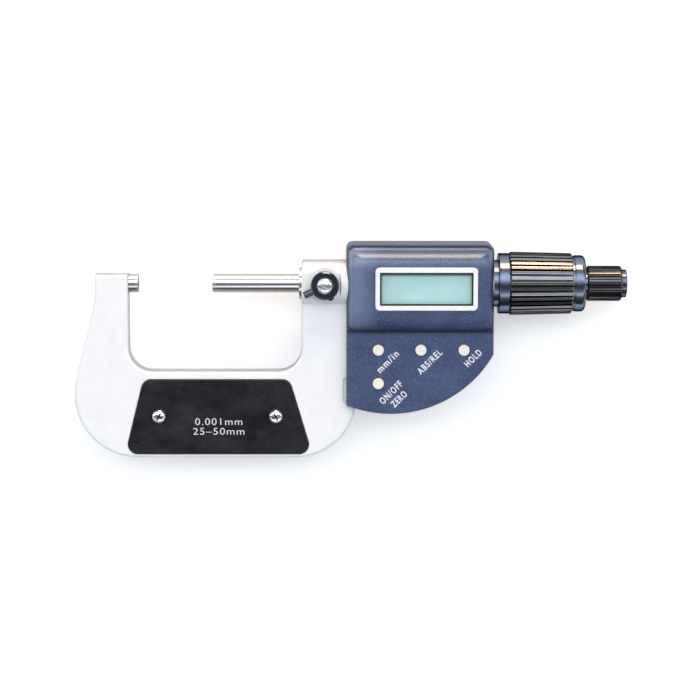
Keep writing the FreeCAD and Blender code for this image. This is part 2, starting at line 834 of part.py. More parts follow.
def make_lock():
    place = [("lock_x", "0")]
    plug = new_body("lock_plug")
    plug_top = "lock_stud_bottom - running_gap"
    pad_circles(plug, place, "lock_plug_dia / 2", "spindle_radius + running_gap", plug_top)
    stud = new_body("lock_stud")
    pad_circles(stud, place, "lock_stud_dia / 2", "lock_stud_bottom", "lock_ring_top")
    thread_end = "lock_ring_top - lock_screw_length"
    cut_circles(stud, place, "lock_screw_dia / 2", thread_end, "lock_ring_top")
    screw = new_body("lock_screw")
    dome = "lock_ring_top + lock_screw_head_rise"
    pad_circles(screw, place, "lock_screw_head_dia / 2", "lock_ring_top", dome)
    soften(screw, f"lock_screw_head_rise * {DOME_SHARE}", on_plane("Z", dome))
    pad_circles(screw, place, "lock_screw_dia / 2", thread_end, "lock_ring_top")
    slot = box_about("lock_x", "0", "lock_screw_head_dia + run_out", "lock_screw_slot_width")
    cut_polygon(screw, slot, f"{dome} - lock_screw_slot_depth", dome)
    make_lock_ring()
    make_lock_lever()


def make_lock_ring():
    """The ring is drawn about its own centre with the lever along -X, then turned so that the lever droops."""
    ring = new_body("lock_ring")
    pad_circles(ring, [("0", "0")], "lock_ring_dia / 2", "lock_ring_bottom", "lock_ring_top")
    faces = any_of(on_plane("Z", "lock_ring_top"), on_plane("Z", "lock_ring_bottom"))
    soften(ring, "lock_ring_bevel", faces, "PartDesign::Chamfer")
    lug_x = "(lock_lug_reach - lock_lug_width / 2) * cos(lock_lug_turn)"
    lug_y = "-(lock_lug_reach - lock_lug_width / 2) * sin(lock_lug_turn)"
    lug_low, lug_high = "lock_ring_bottom + lock_ring_bevel", "lock_ring_top - lock_ring_bevel"
    pad_circles(ring, [(lug_x, lug_y)], "lock_lug_width / 2", lug_low, lug_high)
    cut_circles(ring, [("0", "0")], "lock_stud_dia / 2", "lock_ring_bottom", "lock_ring_top")
    hole, outside = "lock_lever_dia / 2", "-lock_ring_dia / 2 - run_out"
    cut_circles(ring, [("0", "lock_lever_height")], hole, outside, "-lock_lever_root", "YZ_Plane")
    turn_about_lock(ring)


def make_lock_lever():
    lever = new_body("lock_lever")
    reach, root = "-lock_lever_reach", "-lock_lever_root"
    pad_circles(lever, [("0", "lock_lever_height")], "lock_lever_dia / 2", reach, root, "YZ_Plane")
    soften(lever, "lock_lever_round", on_plane("X", reach))
    turn_about_lock(lever)


def turn_about_lock(body):
    body.Placement = Placement(Vector(0, 0, 0), Rotation(Vector(0, 0, 1), value("lock_lever_droop")))
    body.setExpression("Placement.Base.x", formula("lock_x"))


# Encoder


def make_encoder():
    tube("stator_disc", "boss_right", "stator_right", "spindle_radius + end_gap", "stator_dia / 2")
    tube("rotor_disc", "rotor_left", "rotor_right", "hub_dia / 2 + press_gap", "rotor_dia / 2")
    hub = new_body("rotor_hub")
    inner = "spindle_radius + running_gap"
    points = [
        ("rotor_left", inner),
        ("sleeve_left - end_gap", inner),
        ("sleeve_left - end_gap", "hub_dia / 2"),
        ("ring_left - slip_gap", "hub_dia / 2"),
        ("ring_left - slip_gap", "hub_flange_dia / 2"),
        ("rotor_right", "hub_flange_dia / 2"),
        ("rotor_right", "hub_dia / 2"),
        ("rotor_left", "hub_dia / 2"),
    ]
    turn(hub, points)
    cut_circles(hub, [("key_x", "0")], "key_dia / 2", "0", "hub_flange_dia / 2 + run_out")
    key = new_body("rotor_key")
    key_low = "spindle_radius - keyway_depth + slip_gap"
    pad_circles(key, [("key_x", "0")], "key_dia / 2", key_low, "hub_flange_dia / 2 - slip_gap")


# Spindle and sleeve


def make_spindle():
    body = new_body("spindle")
    points = [
        ("tip_right", "0"),
        ("spindle_right", "0"),
        ("spindle_right", "spindle_neck_dia / 2"),
        ("thimble_inner_end", "spindle_neck_dia / 2"),
        ("thimble_inner_end", "thread_dia / 2"),
        ("thread_left", "thread_dia / 2"),
        ("thread_left", "spindle_radius"),
        ("tip_right", "spindle_radius"),
    ]
    turn(body, points)
    bore(body, "cap_right - core_thread_length", "spindle_right", "core_thread_dia / 2")
    keyway_left, keyway_right = "key_x - key_dia - opening_travel", "key_x + key_dia + closing_travel"
    keyway = rectangle(keyway_left, keyway_right, "-keyway_width / 2", "keyway_width / 2")
    cut_polygon(body, keyway, "spindle_radius - keyway_depth", "spindle_radius + run_out")
    tip = new_body("spindle_tip")
    turn(tip, rectangle("rest_opening", "tip_right", "0", "spindle_radius"))
    soften(tip, "tip_bevel", rim("rest_opening", "spindle_radius"), "PartDesign::Chamfer")


def make_sleeves():
    body = new_body("sleeve")
    points = [
        ("sleeve_left", "sleeve_bore / 2"),
        ("nut_thread_left", "sleeve_bore / 2"),
        ("nut_thread_left", "thread_dia / 2 + running_gap"),
        ("sleeve_right", "thread_dia / 2 + running_gap"),
        ("sleeve_right", "sleeve_dia / 2"),
        ("sleeve_left", "sleeve_dia / 2"),
    ]
    turn(body, points)
    outer_right = "outer_sleeve_left + outer_sleeve_length"
    inner = "sleeve_dia / 2 + press_gap"
    tube("outer_sleeve", "outer_sleeve_left", outer_right, inner, "outer_sleeve_dia / 2")
    nut_left = "sleeve_right - adjusting_nut_length - slip_gap"
    tube("adjusting_nut", nut_left, "sleeve_right - slip_gap", inner, "adjusting_nut_dia / 2")


# Thimble and grip


def make_thimble():
    body = new_body("thimble")
    points = [
        ("thimble_left", "thimble_bore"),
        ("thimble_inner_end", "thimble_bore"),
        ("thimble_inner_end", "spindle_neck_dia / 2 + press_gap"),
        ("thimble_spigot_right", "spindle_neck_dia / 2 + press_gap"),
        ("thimble_spigot_right", "thimble_bore - press_gap"),
        ("thimble_right", "thimble_bore - press_gap"),
        ("thimble_right", "thimble_outside"),
        ("thimble_left + thimble_ring_length", "thimble_outside"),
        ("thimble_left + thimble_ring_length", "thimble_ring_dia / 2"),
        ("thimble_left", "thimble_ring_dia / 2"),
    ]
    turn(body, points)
    edges = [
        rim("thimble_left", "thimble_ring_dia / 2"),
        rim("thimble_left + thimble_ring_length", "thimble_ring_dia / 2"),
    ]
    soften(body, "thimble_edge_round", any_of(*edges))


def groove_points(floor_radius, floor_width, mouth_radius, mouth_width):
    """A groove's section on the YZ plane, at the top of the circle."""
    return [
        (f"-({floor_width}) / 2", floor_radius),
        (f"({floor_width}) / 2", floor_radius),
        (f"({mouth_width}) / 2", mouth_radius),
        (f"-({mouth_width}) / 2", mouth_radius),
    ]


def make_grip():
    body = new_body("grip")
    grip_right = "grip_left + grip_length"
    points = [
        ("grip_left", "thimble_outside + press_gap"),
        (grip_right, "thimble_outside + press_gap"),
        (grip_right, "grip_dia / 2 - grip_taper / 2"),
        ("grip_left", "grip_dia / 2"),
    ]
    turn(body, points)
    ends = any_of(rim("grip_left", "grip_dia / 2"), rim(grip_right, "grip_dia / 2 - grip_taper / 2"))
    soften(body, "thimble_edge_round", ends, "PartDesign::Chamfer")
    mouth = ("grip_dia / 2 + run_in", "grip_groove_width")
    groove = groove_points("grip_groove_dia / 2", "grip_groove_floor_width", *mouth)
    cut = cut_polygon(body, groove, "grip_left", grip_right, "YZ_Plane")
    around(body, cut, "grip_ribs")


def make_cap():
    body = new_body("thimble_cap")
    points = [
        ("thimble_right", "thimble_bore + slip_gap"),
        ("thimble_spigot_right + press_gap", "thimble_bore + slip_gap"),
        ("thimble_spigot_right + press_gap", "spindle_neck_dia / 2 + press_gap"),
        ("spindle_right + slip_gap", "spindle_neck_dia / 2 + press_gap"),
        ("spindle_right + slip_gap", "core_thread_dia / 2 + press_gap"),
        ("cap_right", "core_thread_dia / 2 + press_gap"),
        ("cap_right", "cap_dia / 2"),
        ("thimble_right", "cap_dia / 2"),
    ]
    turn(body, points)
    soften(body, "cap_round", rim("cap_right", "cap_dia / 2"))
    soften(body, "thimble_edge_round", rim("thimble_right", "cap_dia / 2"))


# Ratchet stop


def make_teeth(body, root, crest):
    """A ring of radial teeth between two places along X, by repeating one bar of triangular section."""
    root_half, crest_half = "tooth_width / 2", "tooth_crest_width / 2"
    sketch = new_sketch(body, "XZ_Plane", "core_dia / 2 + tooth_inset")
    points = [(root, root_half), (root, f"-{root_half}"), (crest, f"-{crest_half}"), (crest, crest_half)]
    add_polygon(sketch, points)
    bar = pad_sketch(body, sketch, "knob_cavity - core_dia / 2 - 2 * tooth_inset")
    around(body, bar, "teeth")


def make_ratchet():
    core = new_body("ratchet_core")
    points = [
        ("cap_right - core_thread_length", "0"),
        ("knob_right - slip_gap", "0"),
        ("knob_right - slip_gap", "core_dia / 2"),
        ("core_flange_right", "core_dia / 2"),
        ("core_flange_right", "core_flange_dia / 2"),
        ("cap_right", "core_flange_dia / 2"),
        ("cap_right", "core_thread_dia / 2"),
        ("cap_right - core_thread_length", "core_thread_dia / 2"),
    ]
    turn(core, points)
    pin_hole = "end_disc_pin_dia / 2 + press_gap"
    bore(core, "end_disc_left - end_disc_pin_length", "knob_right - slip_gap", pin_hole)
    for low, high in (("core_flat", "core_dia"), ("-core_dia", "-core_flat")):
        flat = rectangle("knob_floor_right", "knob_right", "-core_dia", "core_dia")
        cut_polygon(core, flat, low, high)
    make_knob()
    make_click_ring()
    make_spring()
    end = new_body("ratchet_end_disc")
    points = [
        ("end_disc_left - end_disc_pin_length", "0"),
        ("end_disc_left + end_disc_thick", "0"),
        ("end_disc_left + end_disc_thick", "end_disc_dia / 2"),
        ("end_disc_left", "end_disc_dia / 2"),
        ("end_disc_left", "end_disc_pin_dia / 2"),
        ("end_disc_left - end_disc_pin_length", "end_disc_pin_dia / 2"),
    ]
    turn(end, points)
    soften(end, "end_disc_bevel", rim("end_disc_left + end_disc_thick", "end_disc_dia / 2"))


def make_knob():
    body = new_body("ratchet_knob")
    points = [
        ("knob_left", "core_flange_dia / 2 + slip_gap"),
        ("knob_floor_left", "core_flange_dia / 2 + slip_gap"),
        ("knob_floor_left", "core_dia / 2 + running_gap"),
        ("knob_floor_right", "core_dia / 2 + running_gap"),
        ("knob_floor_right", "knob_cavity"),
        ("knob_right", "knob_cavity"),
        ("knob_right", "knob_dia / 2"),
        ("knob_left", "knob_dia / 2"),
    ]
    turn(body, points)
    ends = any_of(rim("knob_left", "knob_dia / 2"), rim("knob_right", "knob_dia / 2"))
    soften(body, "knob_bevel", ends, "PartDesign::Chamfer")
    mouth = ("knob_dia / 2 + run_in", "knob_groove_width")
    groove = groove_points("knob_dia / 2 - knob_groove_depth", "knob_groove_floor_width", *mouth)
    cut = cut_polygon(body, groove, "knob_left", "knob_right", "YZ_Plane")
    around(body, cut, "knob_ribs")
    make_teeth(body, "knob_floor_right - run_in", "knob_floor_right + tooth_height")


def make_click_ring():
    """The toothed ring slides on the core's two flats, its teeth half a pitch on from the knob's."""
    body = new_body("click_ring")
    inner, outer = "core_dia / 2 + running_gap", "knob_cavity - end_gap"
    turn(body, rectangle("click_plate_left", "click_plate_right", inner, outer))
    make_teeth(body, "click_plate_left + run_in", "click_plate_left - tooth_height")
    body.Placement = Placement(Vector(0, 0, 0), Rotation(Vector(1, 0, 0), value("180 / teeth")))


def make_spring():
    """Compression spring between the click ring and the end disc."""
    wire_radius = value("spring_wire_dia / 2")
    radius = value("spring_mean_radius")
    start = value("spring_left") + wire_radius
    length = value("spring_right") - wire_radius - start
    turns = value("spring_turns")
    helix = Part.makeHelix(length / turns, length, radius)
    section = Part.Wire(Part.makeCircle(wire_radius, Vector(radius, 0, 0), Vector(0, 1, 0)))
    coil = Part.Wire(helix.Edges).makePipeShell([section], True, True)
    spring = doc.addObject("Part::Feature", "ratchet_spring")
    spring.Label = "ratchet_spring"
    spring.Shape = coil
    spring.Placement = Placement(Vector(start, 0, 0), Rotation(Vector(0, 1, 0), 90))


# Housing


def outline_pads(body, low, front):
    """Upper block and lower panel, solid."""
    sketch = new_sketch(body, offset=low)
    add_panel_outline(sketch, "0")
    pad_sketch(body, sketch, f"({front[0]}) - ({low})")
    block = rectangle("housing_left", "housing_right", "-block_bottom", "housing_top")
    pad_polygon(body, block, low, front[1])


def hollow_out(body, low, front):
    """The room inside the upper block and the lower panel."""
    wall = "shell_wall"
    sketch = new_sketch(body, offset=low)
    add_panel_outline(sketch, wall)
    cut_sketch(body, sketch, f"({front[0]}) - ({low})")
    left, right = f"housing_left + {wall}", f"housing_right - {wall}"
    room = rectangle(left, right, f"-block_bottom + {wall}", f"housing_top - {wall}")
    cut_polygon(body, room, low, front[1])


def cut_for_frame(body, side):
    """Way in for the casting's column and boss on the left, and for the ring on the right."""
    left, slot_low = "housing_left - run_out", "-panel_arc - panel_arc_drop - run_out"
    slot = rectangle(left, "column_right + slip_gap", slot_low, "0")
    cut_polygon(body, slot, *facing(side, "0", "frame_face + slip_gap"))
    inside = "housing_left + shell_wall + run_out"
    cut_circles(body, [("0", "0")], "boss_dia / 2 + slip_gap", left, inside, "YZ_Plane")
    inside, right = "housing_right - shell_wall - run_out", "housing_right + run_out"
    cut_circles(body, [("0", "0")], "ring_dia / 2 + slip_gap", inside, right, "YZ_Plane")


def make_front_shell():
    body = new_body("front_shell")
    outline_pads(body, "0", ("panel_front", "housing_front"))
    hollow_out(body, "0", ("panel_ceiling", "block_ceiling"))
    inner_top = at_corner("Y", "housing_top - shell_wall", "Z", "block_ceiling")
    soften(body, "crown_round - shell_wall", inner_top)
    for x in ("housing_left", "housing_right"):
        soften(body, "corner_round", at_corner("X", x, "Y", "housing_top"))
    soften(body, "crown_round", at_corner("Y", "housing_top", "Z", "housing_front"))
    soften(body, "chin_round", at_corner("Y", "-block_bottom", "Z", "housing_front"))
    soften_panel_edges(body, "panel_front", "panel_round")
    cut_for_frame(body, "front")
    bezel_hole = box_about("bezel_x", "bezel_y", "bezel_length - 2 * bezel_lip", "bezel_tall - 2 * bezel_lip")
    cut_polygon(body, bezel_hole, "block_ceiling - run_out", "housing_front")
    button_hole = "button_dia / 2 + button_gap"
    cut_circles(body, list(BUTTONS.values()), button_hole, "panel_ceiling - run_out", "panel_front")
    shoulder, post = "post_shoulder_dia / 2", "post_dia / 2"
    pad_circles(body, UPPER_POSTS, shoulder, "display_board_face", "block_ceiling + run_in")
    pad_circles(body, UPPER_POSTS, post, "bridge_thick / 2", "display_board_face + run_in")
    pad_circles(body, LOWER_POSTS, shoulder, "main_board_face", "panel_ceiling + run_in")
    pad_circles(body, LOWER_POSTS, post, "0", "main_board_face + run_in")
    screw, depth = "housing_screw_dia / 2 + press_gap", "housing_screw_hold + slip_gap"
    cut_circles(body, UPPER_POSTS, screw, "bridge_thick / 2", f"bridge_thick / 2 + {depth}")
    cut_circles(body, LOWER_POSTS, screw, "0", depth)


def soften_panel_edges(body, face, radius):
    """Round the lower panel's outer rim: the edges of this face on the housing's outline."""
    arc_radius = value("panel_arc")
    centre = Vector(value("panel_arc_x"), value("panel_arc_y"), 0)
    on_face = on_plane("Z", face)

    def on_arc(edge):
        middle = edge.valueAt((edge.FirstParameter + edge.LastParameter) / 2)
        return near(math.hypot(middle.x - centre.x, middle.y - centre.y), arc_radius)

    sides = (on_plane("X", "housing_left"), on_plane("X", "housing_right"))
    soften(body, radius, all_of(on_face, any_of(on_arc, *sides)))


def make_rear_shell():
    body = new_body("rear_shell")
    outline_pads(body, "-housing_back", ("0", "0"))
    hollow_out(body, "back_floor", ("0", "0"))
    for x in ("housing_left", "housing_right"):
        soften(body, "corner_round", at_corner("X", x, "Y", "housing_top"))
    soften(body, "back_round", on_plane("Z", "-housing_back"))
    cut_for_frame(body, "back")
    battery = [("battery_x", "-battery_drop")]
    cap_room, cell_room = "battery_cap_dia / 2 + slip_gap", "battery_dia / 2 + slip_gap"
    cap_seat = "battery_cap_shoulder + running_gap"
    pad_circles(body, battery, f"{cap_room} + well_wall", "back_floor - run_in", "battery_cap_inner")
    pad_circles(body, battery, f"{cell_room} + well_wall", "battery_cap_inner - run_in", "well_floor_front")
    cut_circles(body, battery, cap_room, "-housing_back", cap_seat)
    spigot_room = "battery_cap_spigot_dia / 2 + slip_gap"
    cut_circles(body, battery, spigot_room, "battery_cap_shoulder", "battery_back")
    cut_circles(body, battery, cell_room, "battery_cap_inner", "well_floor_back")
    pin_room = "contact_pin_dia / 2 + slip_gap"
    cut_circles(body, battery, pin_room, "well_floor_back - run_out", "well_floor_front")
    post = "post_shoulder_dia / 2"
    pad_circles(body, UPPER_POSTS, post, "back_floor - run_in", "-bridge_thick / 2")
    pad_circles(body, LOWER_POSTS, post, "back_floor - run_in", "0")
    head_room = "housing_screw_head_dia / 2 + slip_gap"
    head_seat = "-housing_back + housing_screw_sink + housing_screw_head_thick"
    cut_circles(body, UPPER_POSTS + LOWER_POSTS, head_room, "-housing_back", head_seat)
    shank = "housing_screw_dia / 2 + slip_gap"
    cut_circles(body, UPPER_POSTS, shank, f"{head_seat} - run_out", "-bridge_thick / 2")
    cut_circles(body, LOWER_POSTS, shank, f"{head_seat} - run_out", "0")


def make_housing_screws():
    head_low = "-housing_back + housing_screw_sink"
    head_seat = f"{head_low} + housing_screw_head_thick"
    screws = []
    ends = ["bridge_thick / 2 + housing_screw_hold"] * 2 + ["housing_screw_hold"] * 2
    for number, (place, end) in enumerate(zip(UPPER_POSTS + LOWER_POSTS, ends)):
        screw = new_body(f"housing_screw_{number}")
        pad_circles(screw, [place], "housing_screw_head_dia / 2", head_low, head_seat)
        pad_circles(screw, [place], "housing_screw_dia / 2", head_seat, end)
        screws.append(screw)
    group("housing_screws", screws)


# Display and boards


def ring_of(body, outer, inner, low, high):
    """A rectangular ring about the display's centre; outer and inner are (length, height)."""
    sketch = new_sketch(body, offset=low)
    add_polygon(sketch, box_about("bezel_x", "bezel_y", *outer))
    add_polygon(sketch, box_about("bezel_x", "bezel_y", *inner))
    pad_sketch(body, sketch, f"({high}) - ({low})")


def make_display():
    window = ("window_length", "window_tall")
    hole = ("bezel_length - 2 * bezel_lip - slip_gap", "bezel_tall - 2 * bezel_lip - slip_gap")
    bezel = new_body("display_bezel")
    ring_of(bezel, ("bezel_length", "bezel_tall"), window, "housing_front", "housing_front + bezel_rise")
    outline = box_about("bezel_x", "bezel_y", "bezel_length", "bezel_tall")
    soften(bezel, "bezel_round", any_of(*[at_corner("X", x, "Y", y) for x, y in outline]))
    face = "housing_front + bezel_rise"
    outside = value("bezel_tall") / 2

    def outer_face_edge(edge):
        box = edge.BoundBox
        reach = max(abs(box.YMin - value("bezel_y")), abs(box.YMax - value("bezel_y")))
        return reach > outside - value("bezel_round") - NEAR

    soften(bezel, "bezel_edge_round", all_of(on_plane("Z", face), outer_face_edge))
    ring_of(bezel, hole, window, "lcd_face + running_gap", "housing_front")
    inside = ("window_length - slip_gap", "window_tall - slip_gap")
    pane = new_body("display_window")
    pad_polygon(pane, box_about("bezel_x", "bezel_y", *inside), "lcd_face", "window_face")
    gasket = new_body("display_gasket")
    opening = ("window_length - 2 * gasket_width", "window_tall - 2 * gasket_width")
    ring_of(gasket, inside, opening, "window_face", "window_face + gasket_thick")
    lcd = new_body("lcd_panel")
    pad_polygon(lcd, box_about("bezel_x", "bezel_y", *inside), "display_board_face", "lcd_face")
    board = new_body("display_board")
    left, right = "housing_left + display_board_inset", "housing_right - display_board_inset"
    outline = rectangle(left, right, "-display_board_bottom", "display_board_top")
    pad_polygon(board, outline, "display_board_back", "display_board_face")
    post_hole = "post_dia / 2 + slip_gap"
    cut_circles(board, UPPER_POSTS, post_hole, "display_board_back", "display_board_face")


def make_main_board():
    board = new_body("main_board")
    sketch = new_sketch(board, offset="main_board_back")
    left, top = "main_board_left - main_board_inset", "-bridge_bottom - board_gap"
    add_panel_outline(sketch, "main_board_inset", left, top)
    pad_sketch(board, sketch, "board_thick")
    post_hole = "post_dia / 2 + slip_gap"
    cut_circles(board, LOWER_POSTS, post_hole, "main_board_back", "main_board_face")


BUTTONS = {
    "units": ("housing_left + button_left_along", "-button_row_drop"),
    "mode": ("housing_left + button_middle_along", "-button_row_drop"),
    "hold": ("housing_right - button_right_along", "-button_row_drop"),
    "power": ("housing_left + button_left_along", "-button_low_drop"),
}


def make_buttons():
    """Each button is a round cap with a flange behind the panel and a stem that stands on a rubber dome."""
    for name, place in BUTTONS.items():
        cap = new_body(f"button_{name}")
        pad_circles(cap, [place], "button_dia / 2", "button_flange_top - run_in", "button_face")
        soften(cap, "button_round", on_plane("Z", "button_face"))
        pad_circles(cap, [place], "button_flange_dia / 2", "button_flange_bottom", "button_flange_top")
        pad_circles(cap, [place], "button_stem_dia / 2", "button_foot", "button_flange_bottom + run_in")
        dome = new_body(f"dome_{name}")
        pad_circles(dome, [place], "button_dome_dia / 2", "main_board_face", "button_foot")
        soften(dome, "button_dome_bevel", on_plane("Z", "button_foot"), "PartDesign::Chamfer")


def make_battery():
    place = [("battery_x", "-battery_drop")]
    cell = new_body("battery")
    pad_circles(cell, place, "battery_dia / 2", "battery_back", "battery_front")
    ends = any_of(on_plane("Z", "battery_back"), on_plane("Z", "battery_front"))
    soften(cell, "end_gap", ends)
    contact = new_body("battery_contact")
    pad_circles(contact, place, "contact_dia / 2", "battery_front", "well_floor_back")
    pad_circles(contact, place, "contact_pin_dia / 2", "well_floor_back - run_in", "main_board_back")
    cap = new_body("battery_cap")
    pad_circles(cap, place, "battery_cap_dia / 2", "battery_cap_back", "battery_cap_shoulder")
    pad_circles(cap, place, "battery_cap_spigot_dia / 2", "battery_cap_shoulder - run_in", "battery_cap_inner")
    slot = box_about("battery_x", "-battery_drop", "battery_slot_length", "battery_slot_width")
    cut_polygon(cap, slot, "battery_cap_back", "battery_cap_back + battery_slot_depth")


# Build everything, check it and write one file for each sub-part

make_frame()
make_anvil()
make_bush()
make_plates()
make_lock()
make_encoder()
make_spindle()
make_sleeves()
make_thimble()
make_grip()
make_cap()
make_ratchet()
make_front_shell()
make_rear_shell()
make_housing_screws()
make_display()
make_main_board()
make_buttons()
make_battery()
doc.recompute()

failed = [item.Name for item in doc.Objects if "Invalid" in item.State or "Error" in item.State]
if failed:
    raise RuntimeError(f"failed objects: {failed}")

grouped = {member.Name for item in doc.Objects if item.TypeId == "Part::Compound" for member in item.Links}
SUB_PART_KINDS = ("PartDesign::Body", "Part::Compound", "Part::Feature")
sub_parts = [item for item in doc.Objects if item.TypeId in SUB_PART_KINDS and item.Name not in grouped]
os.makedirs("parts", exist_ok=True)
for item in sub_parts:
    if item.Shape.isNull() or not item.Shape.isValid():
        raise RuntimeError(f"{item.Label}: the shape is null or not valid")
    item.Shape.exportStep(f"parts/{item.Label}.step")
    print(item.Label, len(item.Shape.Solids), round(item.Shape.Volume, 1))
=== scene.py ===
import json
import math

import bmesh
import bpy
from mathutils import Euler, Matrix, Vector


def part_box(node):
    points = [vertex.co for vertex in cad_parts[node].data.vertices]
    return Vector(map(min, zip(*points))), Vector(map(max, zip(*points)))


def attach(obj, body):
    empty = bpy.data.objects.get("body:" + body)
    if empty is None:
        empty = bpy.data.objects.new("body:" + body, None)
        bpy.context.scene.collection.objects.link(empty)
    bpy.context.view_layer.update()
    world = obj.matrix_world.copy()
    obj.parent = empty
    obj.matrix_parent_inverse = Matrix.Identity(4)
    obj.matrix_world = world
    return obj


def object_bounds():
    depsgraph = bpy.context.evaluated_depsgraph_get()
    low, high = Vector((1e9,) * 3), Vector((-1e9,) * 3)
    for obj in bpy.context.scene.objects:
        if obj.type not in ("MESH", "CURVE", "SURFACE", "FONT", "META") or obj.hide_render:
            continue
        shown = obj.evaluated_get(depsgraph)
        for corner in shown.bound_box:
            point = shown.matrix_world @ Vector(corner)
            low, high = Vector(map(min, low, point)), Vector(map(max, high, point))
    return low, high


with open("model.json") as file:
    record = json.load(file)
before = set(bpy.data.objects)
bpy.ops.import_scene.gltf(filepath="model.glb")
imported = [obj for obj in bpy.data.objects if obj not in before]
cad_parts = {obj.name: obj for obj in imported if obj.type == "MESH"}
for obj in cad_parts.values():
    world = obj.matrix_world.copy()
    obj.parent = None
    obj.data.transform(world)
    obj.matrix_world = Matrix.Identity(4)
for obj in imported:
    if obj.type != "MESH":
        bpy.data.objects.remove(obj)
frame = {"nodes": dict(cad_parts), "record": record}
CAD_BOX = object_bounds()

# Looks of the digital outside micrometer. +X runs along the spindle, +Y away from the throat and +Z out of
# the display. The frame and the studio are in metres. Other lengths are in millimetres until MM scales them.
MM = 0.001
nodes = frame["nodes"]


def millimetres(box):
    """The low and the high corner of a box that is given in metres."""
    return [corner / MM for corner in box]


# Places on the front shell: the lower panel carries the buttons, and the display block stands above it.
PANEL_FACE = 8.0
BLOCK_FOOT = -16.0
SHELL_LOW, SHELL_HIGH = millimetres(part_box("front_shell"))
BLOCK_LEFT, BLOCK_TOP = SHELL_LOW.x, SHELL_HIGH.y

# Each shoulder of the block is a wide bow and a tight one: start and end in Y, and the drop at the end.
BLOCK_BOWS = (
    (BLOCK_TOP - 9.8, BLOCK_TOP - 1.7, 1.95),
    (BLOCK_TOP - 3.0, BLOCK_TOP - 1.7, 0.7),
    (BLOCK_FOOT + 7.5, BLOCK_FOOT - 0.4, 3.4),
    (BLOCK_FOOT + 1.0, BLOCK_FOOT - 0.4, 0.7),
)

# Stretches of the marks that a tool leaves: across a turned face, and along a ribbed one.
TURNED = (7, 0.6, 0.6)
DRAWN = (0.3, 4, 4)
DRAWN_FINE = (0.3, 5, 5)

# Grooves round the grip and the knob: how many, and the widths of half a groove and of a scuffed land with a
# painted highlight, as shares of the pitch.
GRIP_RIBS = (36, 0.27, 0.12)
KNOB_RIBS = (40, 0.3, 0.16)

# Cosines between the true normal and a rounded one, where an edge starts and where it is full.
EDGE_START, EDGE_FULL = 0.995, 0.94

# Sockets of the Mix node in its colour form.
MIX_SHARE, MIX_FIRST, MIX_SECOND, MIX_RESULT = 0, 6, 7, 2


# Node graphs


def add(tree, kind, inputs=None, **settings):
    """A node with its settings, and its inputs set to values or linked to other outputs."""
    node = tree.nodes.new(kind)
    for key, setting in settings.items():
        setattr(node, key, setting)
    for key, given in (inputs or {}).items():
        if isinstance(given, bpy.types.NodeSocket):
            tree.links.new(given, node.inputs[key])
        else:
            node.inputs[key].default_value = given
    return node


def new_material(name, **sockets):
    """A material whose shader has these constant values on its own sockets."""
    material = bpy.data.materials.new(name)
    material.use_nodes = True
    tree = material.node_tree
    shader = tree.nodes["Principled BSDF"]
    for key, given in sockets.items():
        socket = shader.inputs[key.replace("_", " ").title().replace("Ior", "IOR")]
        socket.default_value = (*given, 1) if isinstance(given, tuple) else given
    return material, tree, shader


def place(tree, stretch=(1, 1, 1)):
    """Object coordinates in millimetres, stretched along the axes."""
    coordinates = add(tree, "ShaderNodeTexCoord")
    inputs = {0: coordinates.outputs["Object"], 1: [factor / MM for factor in stretch]}
    return add(tree, "ShaderNodeVectorMath", inputs, operation="MULTIPLY").outputs[0]


def axes(tree):
    """Object coordinates in millimetres, as outputs named X, Y and Z."""
    return add(tree, "ShaderNodeSeparateXYZ", {0: place(tree)}).outputs


def noise(tree, scale, detail=3.0, stretch=(1, 1, 1), roughness=0.55):
    """Noise from 0 to 1, with scale cells to a millimetre."""
    inputs = {"Vector": place(tree, stretch), "Scale": scale, "Detail": detail, "Roughness": roughness}
    return add(tree, "ShaderNodeTexNoise", inputs).outputs["Fac"]


def specks(tree, scale, size):
    """1 on small round specks, size across as a share of their spacing, and 0 elsewhere."""
    inputs = {"Vector": place(tree), "Scale": scale, "Randomness": 1.0}
    distance = add(tree, "ShaderNodeTexVoronoi", inputs).outputs["Distance"]
    return spread(tree, distance, size, size / 2, 0, 1)


def spread(tree, given, from_low, from_high, to_low, to_high):
    """The given range spread over another one, and held at its ends."""
    inputs = {0: given, 1: from_low, 2: from_high, 3: to_low, 4: to_high}
    return add(tree, "ShaderNodeMapRange", inputs, clamp=True).outputs[0]


def maths(tree, operation, first, second=0.0):
    """One step of arithmetic on values or outputs."""
    return add(tree, "ShaderNodeMath", {0: first, 1: second}, operation=operation).outputs[0]


def blend_colours(tree, share, first, second):
    """The first colour where share is 0, the second where it is 1."""
    first, second = ((*colour, 1) if isinstance(colour, tuple) else colour for colour in (first, second))
    inputs = {MIX_SHARE: share, MIX_FIRST: first, MIX_SECOND: second}
    return add(tree, "ShaderNodeMix", inputs, data_type="RGBA").outputs[MIX_RESULT]


def edges(tree, radius):
    """1 along edges, by comparing the surface's normal with one rounded over radius millimetres."""
    bevel = add(tree, "ShaderNodeBevel", {"Radius": radius * MM}, samples=6)
    geometry = add(tree, "ShaderNodeNewGeometry")
    inputs = {0: bevel.outputs["Normal"], 1: geometry.outputs["Normal"]}
    alike = add(tree, "ShaderNodeVectorMath", inputs, operation="DOT_PRODUCT").outputs["Value"]
    return spread(tree, alike, EDGE_START, EDGE_FULL, 0, 1)


def set_colour(tree, shader, output):
    tree.links.new(output, shader.inputs["Base Color"])


def set_roughness(tree, shader, output):
    tree.links.new(output, shader.inputs["Roughness"])


def set_bump(tree, shader, height, depth):
    """Bump of this depth in millimetres: it tilts the surface more than a true drop would."""
    bump = add(tree, "ShaderNodeBump", {"Height": height, "Distance": depth * MM, "Strength": 1.0})
    tree.links.new(bump.outputs["Normal"], shader.inputs["Normal"])


# Materials


